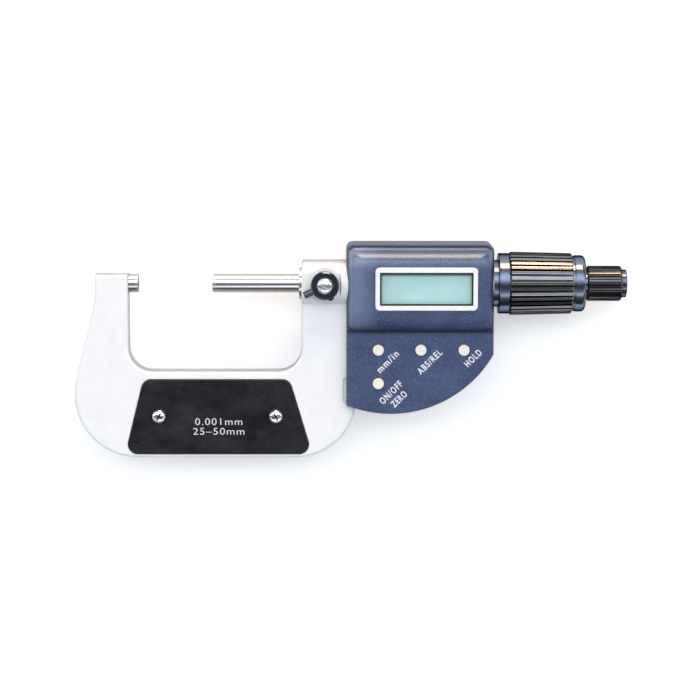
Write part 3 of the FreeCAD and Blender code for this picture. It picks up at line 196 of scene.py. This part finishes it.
def flank(tree):
    """1 on faces that look sideways and 0 on those that look along Z."""
    normal = add(tree, "ShaderNodeNewGeometry").outputs["Normal"]
    upright = maths(tree, "ABSOLUTE", add(tree, "ShaderNodeSeparateXYZ", {0: normal}).outputs["Z"])
    return spread(tree, upright, 0.62, 0.22, 0, 1)


def enamel():
    """Silver-white enamel with a faint orange peel; faces that look sideways are painted darker as shade, and
    edges turn lilac grey in patches, partly scuffing and partly painted shade.
    """
    material, tree, shader = new_material("enamel", coat_weight=0.3, coat_roughness=0.2)
    mottle = spread(tree, noise(tree, 0.16, 4), 0.3, 0.7, 0, 1)
    body = blend_colours(tree, mottle, (0.90, 0.90, 0.905), (0.945, 0.945, 0.94))
    # Painted shade: faces that look sideways are darker.
    sides_painted_shade = maths(tree, "MULTIPLY", flank(tree), spread(tree, noise(tree, 0.5, 4), 0.3, 0.7, 0.86, 1))
    body = blend_colours(tree, sides_painted_shade, body, (0.20, 0.195, 0.21))
    # Edges turn lilac grey in patches: partly scuffing, partly painted shade.
    edge_wear_and_painted_light = maths(tree, "MULTIPLY", edges(tree, 0.5), spread(tree, noise(tree, 1.3), 0.4, 0.75, 0, 0.5))
    set_colour(tree, shader, blend_colours(tree, edge_wear_and_painted_light, body, (0.50, 0.50, 0.56)))
    set_roughness(tree, shader, spread(tree, noise(tree, 0.7), 0.3, 0.7, 0.3, 0.44))
    set_bump(tree, shader, noise(tree, 1.8, 2), 0.02)
    return material


def ground_steel():
    """Hardened steel, ground round: fine rings across the axis, a few dark specks, a warm cast."""
    material, tree, shader = new_material("ground_steel", metallic=1.0, specular_tint=(0.1, 0.09, 0.08))
    rings = noise(tree, 1.0, 5, stretch=(9, 0.7, 0.7))
    body = blend_colours(tree, spread(tree, rings, 0.3, 0.7, 0, 1), (0.58, 0.565, 0.55), (0.73, 0.71, 0.69))
    dirt = maths(tree, "MULTIPLY", specks(tree, 1.6, 0.16), spread(tree, noise(tree, 0.5), 0.45, 0.6, 0, 0.8))
    set_colour(tree, shader, blend_colours(tree, dirt, body, (0.16, 0.14, 0.13)))
    set_roughness(tree, shader, spread(tree, rings, 0.25, 0.75, 0.1, 0.2))
    set_bump(tree, shader, rings, 0.006)
    return material


def carbide():
    """Lapped hard metal, darker than the steel, with a fine grain."""
    material, tree, shader = new_material("carbide", metallic=1.0, specular_tint=(0.1, 0.1, 0.1))
    grain = noise(tree, 6, 3)
    set_colour(tree, shader, blend_colours(tree, grain, (0.60, 0.60, 0.61), (0.74, 0.74, 0.74)))
    set_roughness(tree, shader, spread(tree, noise(tree, 1.4), 0.3, 0.7, 0.16, 0.3))
    set_bump(tree, shader, grain, 0.003)
    return material


def off_line(tree, u, v, angle):
    """Distance of the point (u, v) from a line through the origin at this angle in degrees."""
    across = maths(tree, "MULTIPLY", u, math.sin(math.radians(angle)))
    along = maths(tree, "MULTIPLY", v, math.cos(math.radians(angle)))
    return maths(tree, "ABSOLUTE", maths(tree, "SUBTRACT", across, along))


def head_centres(box):
    """Centres of two like screw heads, from the box round both; a single head counts twice."""
    low, high = millimetres(box)
    radius = (high.y - low.y) / 2
    return (low.x + radius, low.y + radius), (high.x - radius, low.y + radius)


def chrome(name="chrome", centres=None, dome=None, cross=0.0):
    """Bright plating, a little wavy and pitted.

    With centres, the heads about them are domed to this radius, with a cross recess that reaches so far and
    is painted near black as the shade inside it.
    """
    material, tree, shader = new_material(name, metallic=1.0)
    pits = specks(tree, 2.4, 0.14)
    body = blend_colours(tree, pits, (0.90, 0.90, 0.91), (0.38, 0.36, 0.35))
    height = maths(tree, "MULTIPLY", noise(tree, 0.9, 2), 0.12)
    if centres:
        (left, y), (right, _) = centres
        at = axes(tree)
        along = maths(tree, "ABSOLUTE", maths(tree, "SUBTRACT", at["X"], (left + right) / 2))
        u = maths(tree, "SUBTRACT", along, (right - left) / 2)
        v = maths(tree, "SUBTRACT", at["Y"], y)
        square = maths(tree, "ADD", maths(tree, "MULTIPLY", u, u), maths(tree, "MULTIPLY", v, v))
        height = maths(tree, "SUBTRACT", height, maths(tree, "DIVIDE", square, 2 * dome))
    if cross:
        arms = [off_line(tree, u, v, angle) for angle in (26, 116)]
        arm = spread(tree, maths(tree, "MINIMUM", *arms), 0.16, 0.3, 1, 0)
        recess = maths(tree, "MULTIPLY", arm, spread(tree, square, cross * cross * 0.8, cross * cross, 1, 0))
        height = maths(tree, "SUBTRACT", height, maths(tree, "MULTIPLY", recess, 0.25))
        # Painted shade: the cross recess is near black.
        body = blend_colours(tree, recess, body, (0.05, 0.05, 0.055))
    set_colour(tree, shader, body)
    set_roughness(tree, shader, spread(tree, noise(tree, 1.2), 0.3, 0.7, 0.045, 0.12))
    set_bump(tree, shader, height, 1.0)
    return material


def black_plate():
    """Gloss black lacquer with faint brown clouds, dust and hairline scratches."""
    material, tree, shader = new_material("black_plate", coat_weight=0.12, coat_roughness=0.08)
    clouds = spread(tree, noise(tree, 0.11, 5), 0.38, 0.72, 0, 1)
    body = blend_colours(tree, clouds, (0.007, 0.0066, 0.0085), (0.019, 0.0175, 0.0205))
    dusty = spread(tree, noise(tree, 0.2), 0.45, 0.6, 0.1, 0.8)
    dust = maths(tree, "MULTIPLY", specks(tree, 0.75, 0.10), dusty)
    set_colour(tree, shader, blend_colours(tree, dust, body, (0.20, 0.19, 0.18)))
    set_roughness(tree, shader, spread(tree, clouds, 0, 1, 0.2, 0.36))
    scratches = noise(tree, 0.8, 4, stretch=(0.3, 6, 1))
    set_bump(tree, shader, scratches, 0.004)
    return material


def ribs(tree, count, mouth, land):
    """Lands beside the grooves round the axis, where scuffing and a painted highlight show, and the grooves;
    widths are shares of the pitch.
    """
    at = axes(tree)
    angle = maths(tree, "ARCTAN2", at["Y"], at["Z"])
    share = maths(tree, "FRACT", maths(tree, "MULTIPLY", angle, count / (2 * math.pi)))
    off = maths(tree, "ABSOLUTE", maths(tree, "SUBTRACT", share, 0.5))
    rim = 0.5 - mouth
    grooves = spread(tree, off, rim, rim + 0.04, 0, 1)
    lands = spread(tree, off, rim - land, rim - land / 2, 0, 1)
    return maths(tree, "SUBTRACT", lands, grooves), grooves


def black_oxide(name, stretch, bright_share, radius=0.16, tint=1.0, pattern=None):
    """Blackened steel with a blue cast: marks of the tool, satin patches, and bright metal on edges that is
    partly scuffing and partly a painted highlight.

    Bright metal shows up to the share bright_share, on edges of this radius and beside the grooves of the
    pattern, whose grooves are painted darker as shade; tint gives lighter or darker copies, painted light and
    painted shade.
    """
    material, tree, shader = new_material(name, metallic=1.0, specular_tint=(0.08, 0.08, 0.1))
    marks = noise(tree, 1.0, 4, stretch=stretch)
    tone = spread(tree, marks, 0.3, 0.7, 0, 1)
    dark = tuple(tint * level for level in (0.088, 0.104, 0.136))
    light = tuple(tint * level for level in (0.140, 0.168, 0.218))
    body = blend_colours(tree, tone, dark, light)
    rubbed = spread(tree, noise(tree, 0.4, 2, stretch=(0.3, 1, 1)), 0.35, 0.6, bright_share / 2, bright_share)
    # Edges and lands turn bright: partly scuffing, partly a painted highlight.
    edge_wear_and_painted_light = edges(tree, radius)
    if pattern:
        lands, grooves = ribs(tree, *pattern)
        edge_wear_and_painted_light = maths(tree, "MAXIMUM", edge_wear_and_painted_light, lands)
        # Painted shade: the grooves are darker.
        body = blend_colours(tree, grooves, body, (0.022, 0.025, 0.033))
    wear_and_painted_highlight = maths(tree, "MULTIPLY", edge_wear_and_painted_light, rubbed)
    set_colour(tree, shader, blend_colours(tree, wear_and_painted_highlight, body, (0.52, 0.45, 0.37)))
    set_roughness(tree, shader, spread(tree, marks, 0.25, 0.75, 0.12, 0.2))
    set_bump(tree, shader, marks, 0.004)
    return material


def bow(tree, distance, start, end, depth):
    """How far a round shoulder drops from start to end: this depth in millimetres at the end."""
    share = spread(tree, distance, start, end, 0, 1)
    return maths(tree, "MULTIPLY", maths(tree, "MULTIPLY", share, share), depth)


def crown(tree, up):
    """How far the display block's shoulders drop below its flat middle."""
    drop = 0
    for start, end, depth in BLOCK_BOWS:
        drop = maths(tree, "ADD", bow(tree, up, start, end, depth), drop)
    return drop


def corner_painted_shade(tree, at):
    """How dark the painted shade is along the corner between the panel and the block's foot."""
    off_corner = maths(tree, "ABSOLUTE", maths(tree, "SUBTRACT", at["Y"], BLOCK_FOOT - 0.5))
    dark = spread(tree, off_corner, 0.35, 0.85, 0.85, 0)
    on_panel = spread(tree, at["Z"], PANEL_FACE - 1.0, PANEL_FACE - 0.1, 0, 1)
    return maths(tree, "MULTIPLY", dark, on_panel)


def housing():
    """Dark blue-grey moulding: grain, a crowned display block and a dark parting line at Z = 0.

    The block's left side is painted paler as a sheen, its upper shoulder is glossier, faces that look
    sideways are painted darker as shade, and painted shade darkens the corner at its foot.
    """
    material, tree, shader = new_material("housing", specular_tint=(0.75, 0.87, 1.0))
    at = axes(tree)
    grain = noise(tree, 1.9, 4, roughness=0.75)
    sideways = flank(tree)
    raised = spread(tree, at["Z"], PANEL_FACE + 0.3, PANEL_FACE + 1.3, 0, 1)
    above = spread(tree, at["Y"], BLOCK_TOP - 8.5, BLOCK_TOP - 6.1, 0, 1)
    shoulder = maths(tree, "MULTIPLY", above, raised)
    seam = spread(tree, maths(tree, "ABSOLUTE", at["Z"]), 0.05, 0.12, 1, 0)

    tone = spread(tree, noise(tree, 0.09, 3), 0.35, 0.65, 0, 1)
    body = blend_colours(tree, tone, (0.034, 0.051, 0.112), (0.053, 0.079, 0.168))
    body = blend_colours(tree, spread(tree, grain, 0.5, 0.68, 0, 0.6), body, (0.17, 0.225, 0.39))
    rubbed = maths(tree, "MULTIPLY", edges(tree, 0.35), spread(tree, noise(tree, 1.1), 0.4, 0.7, 0, 0.25))
    body = blend_colours(tree, rubbed, body, (0.15, 0.17, 0.21))
    # Painted sheen: the block's left side is paler.
    left = spread(tree, at["X"], BLOCK_LEFT + 11.5, BLOCK_LEFT + 1.5, 0, 0.42)
    body = blend_colours(tree, maths(tree, "MULTIPLY", left, raised), body, (0.34, 0.41, 0.56))
    # Painted shade: faces that look sideways are darker.
    body = blend_colours(tree, maths(tree, "MULTIPLY", sideways, 0.72), body, (0.012, 0.014, 0.022))
    # Painted shade in the corner at the block's foot.
    body = blend_colours(tree, corner_painted_shade(tree, at), body, (0.006, 0.006, 0.009))
    set_colour(tree, shader, blend_colours(tree, seam, body, (0.006, 0.006, 0.008)))

    rough = spread(tree, grain, 0.3, 0.7, 0.48, 0.34)
    set_roughness(tree, shader, maths(tree, "SUBTRACT", rough, maths(tree, "MULTIPLY", shoulder, 0.18)))
    gloss = spread(tree, sideways, 0, 1, 0.6, 0.2)
    gloss = maths(tree, "ADD", gloss, maths(tree, "MULTIPLY", shoulder, 0.6))
    tree.links.new(gloss, shader.inputs["Specular IOR Level"])

    height = maths(tree, "MULTIPLY", maths(tree, "SUBTRACT", grain, seam), 0.075)
    drop = maths(tree, "MULTIPLY", crown(tree, at["Y"]), raised)
    set_bump(tree, shader, maths(tree, "SUBTRACT", height, drop), 1.0)
    return material


def bezel():
    """Bright white lacquer, a little greyer in patches."""
    material, tree, shader = new_material("bezel", coat_weight=0.5, coat_roughness=0.1)
    tone = spread(tree, noise(tree, 0.3, 3), 0.3, 0.7, 0, 1)
    set_colour(tree, shader, blend_colours(tree, tone, (0.92, 0.92, 0.93), (0.96, 0.96, 0.965)))
    set_roughness(tree, shader, spread(tree, noise(tree, 1.2), 0.3, 0.7, 0.22, 0.34))
    set_bump(tree, shader, noise(tree, 1.6, 2), 0.01)
    return material


def window():
    """Thin clear pane with a few smears."""
    material, tree, shader = new_material("window", alpha=0.14, base_color=(0.9, 0.97, 0.96), ior=1.49)
    set_roughness(tree, shader, spread(tree, noise(tree, 0.2, 4), 0.35, 0.7, 0.03, 0.12))
    set_bump(tree, shader, noise(tree, 0.3, 2), 0.004)
    return material


def gasket():
    """Black seal, dull, with a fine grain."""
    material, tree, shader = new_material("gasket")
    grain = noise(tree, 3, 3)
    set_colour(tree, shader, blend_colours(tree, grain, (0.006, 0.006, 0.007), (0.018, 0.018, 0.019)))
    set_roughness(tree, shader, spread(tree, grain, 0.3, 0.7, 0.5, 0.7))
    set_bump(tree, shader, grain, 0.01)
    return material


def lcd():
    """Grey-green liquid crystal cell: fine rows, a slow tint and a painted shadow along the top."""
    material, tree, shader = new_material("lcd", coat_weight=0.3, coat_roughness=0.15)
    tint = spread(tree, noise(tree, 0.06, 2), 0.35, 0.65, 0, 1)
    body = blend_colours(tree, tint, (0.41, 0.72, 0.69), (0.55, 0.83, 0.80))
    rows = noise(tree, 1.0, 1, stretch=(0.4, 9, 1))
    body = blend_colours(tree, spread(tree, rows, 0.4, 0.7, 0, 0.16), body, (0.20, 0.46, 0.42))
    body = blend_colours(tree, spread(tree, noise(tree, 3, 2), 0.35, 0.7, 0, 0.12), body, (0.85, 0.95, 0.92))
    top = millimetres(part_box("lcd_panel"))[1].y
    # Painted shadow along the top, where the recess shades the cell.
    shade = spread(tree, axes(tree)["Y"], top - 1.5, top - 1.1, 0, 0.8)
    set_colour(tree, shader, blend_colours(tree, shade, body, (0.05, 0.16, 0.14)))
    set_roughness(tree, shader, spread(tree, rows, 0.3, 0.7, 0.3, 0.42))
    set_bump(tree, shader, rows, 0.004)
    return material


def button():
    """Cream cap with a gilt rim; the rim is found by its distance from the button's own axis."""
    material, tree, shader = new_material("button", coat_weight=0.4, coat_roughness=0.12)
    generated = add(tree, "ShaderNodeTexCoord").outputs["Generated"]
    inputs = {0: generated, 1: (0.5, 0.5, 0)}
    centred = add(tree, "ShaderNodeVectorMath", inputs, operation="SUBTRACT").outputs[0]
    flat = add(tree, "ShaderNodeVectorMath", {0: centred, 1: (1, 1, 0)}, operation="MULTIPLY").outputs[0]
    off_axis = add(tree, "ShaderNodeVectorMath", {0: flat}, operation="LENGTH").outputs["Value"]
    gilt = spread(tree, off_axis, 0.335, 0.35, 0, 1)
    tone = spread(tree, noise(tree, 0.9, 3), 0.3, 0.7, 0, 1)
    cream = blend_colours(tree, tone, (0.88, 0.85, 0.76), (0.95, 0.93, 0.87))
    set_colour(tree, shader, blend_colours(tree, gilt, cream, (0.80, 0.55, 0.10)))
    set_roughness(tree, shader, spread(tree, tone, 0, 1, 0.26, 0.36))
    set_bump(tree, shader, noise(tree, 2, 2), 0.008)
    return material


def ink():
    """Screen-printed paint, a little thin in places."""
    material, tree, shader = new_material("ink")
    thin = spread(tree, noise(tree, 2.2, 3), 0.35, 0.75, 0, 1)
    set_colour(tree, shader, blend_colours(tree, thin, (0.90, 0.90, 0.91), (0.66, 0.67, 0.70)))
    set_roughness(tree, shader, spread(tree, thin, 0, 1, 0.4, 0.55))
    set_bump(tree, shader, thin, 0.006)
    return material


def board():
    """Green solder mask with darker weave and copper specks."""
    material, tree, shader = new_material("board", coat_weight=0.4)
    weave = noise(tree, 1.0, 2, stretch=(3, 0.6, 1))
    body = blend_colours(tree, weave, (0.012, 0.09, 0.035), (0.03, 0.16, 0.07))
    set_colour(tree, shader, blend_colours(tree, specks(tree, 0.9, 0.2), body, (0.62, 0.42, 0.20)))
    set_roughness(tree, shader, spread(tree, weave, 0.3, 0.7, 0.3, 0.45))
    set_bump(tree, shader, weave, 0.01)
    return material


def brass():
    """Turned brass with fine rings and a brown tarnish."""
    material, tree, shader = new_material("brass", metallic=1.0)
    rings = noise(tree, 1.0, 4, stretch=(8, 0.7, 0.7))
    set_colour(tree, shader, blend_colours(tree, rings, (0.48, 0.33, 0.13), (0.78, 0.60, 0.30)))
    set_roughness(tree, shader, spread(tree, rings, 0.3, 0.7, 0.2, 0.34))
    set_bump(tree, shader, rings, 0.006)
    return material


def plain_steel():
    """Zinc-plated steel, slightly blue and patchy."""
    material, tree, shader = new_material("plain_steel", metallic=1.0)
    patches = spread(tree, noise(tree, 0.8, 4), 0.3, 0.7, 0, 1)
    set_colour(tree, shader, blend_colours(tree, patches, (0.42, 0.43, 0.45), (0.62, 0.62, 0.61)))
    set_roughness(tree, shader, spread(tree, patches, 0, 1, 0.22, 0.38))
    set_bump(tree, shader, noise(tree, 3, 2), 0.006)
    return material


MATERIALS = {
    "frame_paint": enamel(),
    "ground_steel": ground_steel(),
    "carbide": carbide(),
    "chrome": chrome(),
    "black_plate": black_plate(),
    "black_metal": black_oxide("black_metal", TURNED, 0.35),
    "housing": housing(),
    "bezel": bezel(),
    "window": window(),
    "gasket": gasket(),
    "lcd": lcd(),
    "board": board(),
    "button": button(),
    "brass": brass(),
    "plain_steel": plain_steel(),
}
# Lighter and darker copies of the blackened steel, set by tint: painted light and painted shade on the
# barrel, the grip and the knob.
BARREL = black_oxide("barrel_metal", TURNED, 0.35, tint=1.4)
RIBBED = black_oxide("ribbed_metal", DRAWN, 0.8, radius=0.13, tint=1.25, pattern=GRIP_RIBS)
FINE_RIBBED = black_oxide("fine_ribbed_metal", DRAWN_FINE, 0.3, radius=0.05, tint=0.5, pattern=KNOB_RIBS)
INK = ink()
PLATE_SCREWS = chrome("screw_chrome", head_centres(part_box("front_plate_screws")), dome=4.5, cross=1.5)
LOCK_SCREW = chrome("lock_chrome", head_centres(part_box("lock_screw")), dome=6.0)
OWN_LOOKS = {
    "thimble": BARREL,
    "thimble_cap": BARREL,
    "outer_sleeve": BARREL,
    "grip": RIBBED,
    "ratchet_knob": FINE_RIBBED,
    "front_plate_screws": PLATE_SCREWS,
    "back_plate_screws": PLATE_SCREWS,
    "lock_screw": LOCK_SCREW,
}


def dress_frame():
    """Give every carried-over node the material of its slot in the record."""
    slots = {row["node"]: row["material_slot"] for row in frame["record"]["subparts"]}
    for name, piece in nodes.items():
        piece.data.materials.clear()
        piece.data.materials.append(OWN_LOOKS.get(name, MATERIALS[slots[name]]))


# Lettering

PRINT_THICK = 0.03
PLATE_PRINT_SHIFT = 0.13
PLATE_PRINT = {"height": 2.5, "bold": -0.004, "spacing": 1.15}
LABEL_PRINT = {"height": 2.55, "bold": 0.028, "spacing": 1.25, "turn": 45}


def write(name, words, centre, length, height, bold, spacing, turn=0):
    """A line of print on a face that looks along +Z, scaled to this length and height."""
    curve = bpy.data.curves.new(name, "FONT")
    curve.body = words
    curve.offset = bold
    curve.space_character = spacing
    curve.resolution_u = 4
    # Any depth will do, as the mesh is scaled to its size below.
    curve.extrude = 0.01
    source = bpy.data.objects.new(f"{name}_curve", curve)
    bpy.context.scene.collection.objects.link(source)
    bpy.context.view_layer.update()
    mesh = bpy.data.meshes.new_from_object(source.evaluated_get(bpy.context.evaluated_depsgraph_get()))
    bpy.data.objects.remove(source)
    coordinates = [[vertex.co[axis] for vertex in mesh.vertices] for axis in range(3)]
    lows = Vector([min(row) for row in coordinates])
    highs = Vector([max(row) for row in coordinates])
    across = highs - lows
    scale = (length * MM / across.x, height * MM / across.y, PRINT_THICK * MM / across.z)
    shift = (lows + highs) / 2
    for vertex in mesh.vertices:
        vertex.co = Vector([(vertex.co[axis] - shift[axis]) * scale[axis] for axis in range(3)])
    piece = bpy.data.objects.new(name, mesh)
    piece.rotation_euler = (0, 0, math.radians(turn))
    piece.location = Vector(centre) * MM
    bpy.context.scene.collection.objects.link(piece)
    mesh.materials.append(INK)
    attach(piece, "frame")


def label_plate():
    """Two lines of print on the front plate: what it reads to, and its range."""
    low, high = millimetres(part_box("front_plate"))
    middle = (low.x + high.x) / 2 + PLATE_PRINT_SHIFT
    labels = (("plate_resolution", "0.001mm", 11.84, 16.9), ("plate_range", "25\u201350mm", 8.32, 18.4))
    for name, words, up, length in labels:
        write(name, words, (middle, low.y + up, high.z), length, **PLATE_PRINT)


def label_buttons():
    """Print below and right of the buttons, rising to the right: how far off its button, and how long."""
    labels = (
        ("label_units", "mm/in", "button_units", (3.28, -4.21), 9.6),
        ("label_mode", "ABS/REL", "button_mode", (3.1, -4.28), 11.1),
        ("label_hold", "HOLD", "button_hold", (3.25, -2.94), 7.2),
        ("label_power", "ON/OFF", "button_power", (4.54, -3.22), 10.1),
        ("label_zero", "ZERO", "button_power", (7.4, -5.6), 6.6),
    )
    for name, words, beside, (right, up), length in labels:
        low, high = millimetres(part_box(beside))
        centre = ((low.x + high.x) / 2 + right, (low.y + high.y) / 2 + up, PANEL_FACE)
        write(name, words, centre, length, **LABEL_PRINT)


# Studio, in metres; the lens and its sensor are in millimetres

AIM = Vector((0.07585, -0.02417, 0))
CAMERA_DISTANCE = 0.907
CAMERA_LENS, CAMERA_SENSOR = 129.45, 36
CAMERA_TILT, CAMERA_YAW, CAMERA_ROLL = (math.radians(degrees) for degrees in (6.92, -0.54, 0.08))
STRIP_PLACE = AIM + Vector((0.07, 0.68, 0.17))
STRIP_TARGET = AIM + Vector((0.03, 0.024, 0))
STRIP_SIZE = (0.42, 0.26)
STRIP_POWER = 3.3
STRIP_COLOUR = (1.0, 0.73, 0.48)
WORLD_LEVEL = 1.03
WORLD_TINT = (0.95, 1.0, 1.08)
FLOOR_SIZE = 3.0
FLOOR_GAP = 0.0001
FLOOR_LIFT = 0.40


def studio_world():
    """Soft studio about the spindle's axis: brightest on the far side, with one narrow near band."""
    world = bpy.data.worlds.new("studio")
    bpy.context.scene.world = world
    world.use_nodes = True
    tree = world.node_tree
    tree.nodes.clear()
    direction = add(tree, "ShaderNodeTexCoord").outputs["Generated"]
    across = add(tree, "ShaderNodeVectorMath", {0: direction, 1: (0, 1, 1)}, operation="MULTIPLY").outputs[0]
    across = add(tree, "ShaderNodeVectorMath", {0: across}, operation="NORMALIZE").outputs[0]
    lean = add(tree, "ShaderNodeSeparateXYZ", {0: across}).outputs["Y"]
    dome = add(tree, "ShaderNodeValToRGB", {0: spread(tree, lean, -1, 1, 0, 1)})
    # How far from the near side to the far one, as a share, and how bright it is there.
    stops = (
        (0.000, 0.06), (0.045, 0.12), (0.085, 0.24), (0.112, 0.42), (0.140, 1.20), (0.163, 1.95),
        (0.192, 1.75), (0.225, 0.90), (0.270, 0.52), (0.320, 0.34), (0.390, 0.18), (0.450, 0.15),
        (0.510, 0.28), (0.580, 0.85), (0.645, 1.80), (0.710, 2.50), (0.780, 2.30), (0.830, 1.80),
        (0.875, 0.85), (0.920, 0.42), (0.950, 0.25), (1.000, 0.08),
    )
    ramp = dome.color_ramp
    while len(ramp.elements) < len(stops):
        ramp.elements.new(0.5)
    for element, (at, level) in zip(ramp.elements, stops):
        element.position = at
        element.color = (*(level * share for share in WORLD_TINT), 1)
    lit = add(tree, "ShaderNodeBackground", {"Color": dome.outputs["Color"], "Strength": WORLD_LEVEL})
    output = add(tree, "ShaderNodeOutputWorld")
    tree.links.new(lit.outputs[0], output.inputs["Surface"])


def light_studio():
    """A long warm strip low on the far side."""
    data = bpy.data.lights.new("far_strip", "AREA")
    data.shape = "RECTANGLE"
    data.size, data.size_y = STRIP_SIZE
    data.energy = STRIP_POWER
    data.color = STRIP_COLOUR
    lamp = bpy.data.objects.new("far_strip", data)
    lamp.location = STRIP_PLACE
    lamp.rotation_euler = (STRIP_TARGET - STRIP_PLACE).to_track_quat("-Z", "Y").to_euler()
    bpy.context.scene.collection.objects.link(lamp)


def paper():
    """Pale paper, lifted to white where it is seen straight, mirrored or through the window."""
    material, tree, shader = new_material("floor", roughness=0.9)
    mottle = spread(tree, noise(tree, 0.02, 2), 0.3, 0.7, 0, 1)
    set_colour(tree, shader, blend_colours(tree, mottle, (0.80, 0.80, 0.80), (0.83, 0.83, 0.83)))
    path = add(tree, "ShaderNodeLightPath")
    seen = maths(tree, "MAXIMUM", path.outputs["Is Camera Ray"], path.outputs["Is Glossy Ray"])
    seen = maths(tree, "MAXIMUM", seen, path.outputs["Is Transmission Ray"])
    glow = add(tree, "ShaderNodeEmission", {"Color": (1, 1, 1, 1), "Strength": FLOOR_LIFT})
    lifted = add(tree, "ShaderNodeAddShader", {0: shader.outputs[0], 1: glow.outputs[0]})
    both = add(tree, "ShaderNodeMixShader", {0: seen, 1: shader.outputs[0], 2: lifted.outputs[0]})
    tree.links.new(both.outputs[0], tree.nodes["Material Output"].inputs["Surface"])
    return material


def make_floor():
    """A plain sheet under the housing's back, which takes the object's shadow."""
    mesh = bpy.data.meshes.new("floor")
    sheet = bmesh.new()
    bmesh.ops.create_grid(sheet, x_segments=8, y_segments=8, size=FLOOR_SIZE / 2)
    sheet.to_mesh(mesh)
    sheet.free()
    floor = bpy.data.objects.new("floor", mesh)
    floor.location = (AIM.x, AIM.y, CAD_BOX[0][2] - FLOOR_GAP)
    bpy.context.scene.collection.objects.link(floor)
    mesh.materials.append(paper())


def make_camera():
    """Almost square above the instrument, leaning a little from the far side, as the photograph shows it."""
    data = bpy.data.cameras.new("camera")
    data.lens = CAMERA_LENS
    data.sensor_width = CAMERA_SENSOR
    data.clip_start, data.clip_end = 0.01, 10
    camera = bpy.data.objects.new("camera", data)
    turn = Euler((-CAMERA_TILT, CAMERA_YAW, CAMERA_ROLL), "XYZ")
    camera.rotation_euler = turn
    camera.location = AIM + turn.to_matrix() @ Vector((0, 0, CAMERA_DISTANCE))
    bpy.context.scene.collection.objects.link(camera)
    bpy.context.scene.camera = camera


bpy.context.scene.view_settings.view_transform = "Standard"
make_camera()
studio_world()
light_studio()
make_floor()
dress_frame()
label_plate()
label_buttons()
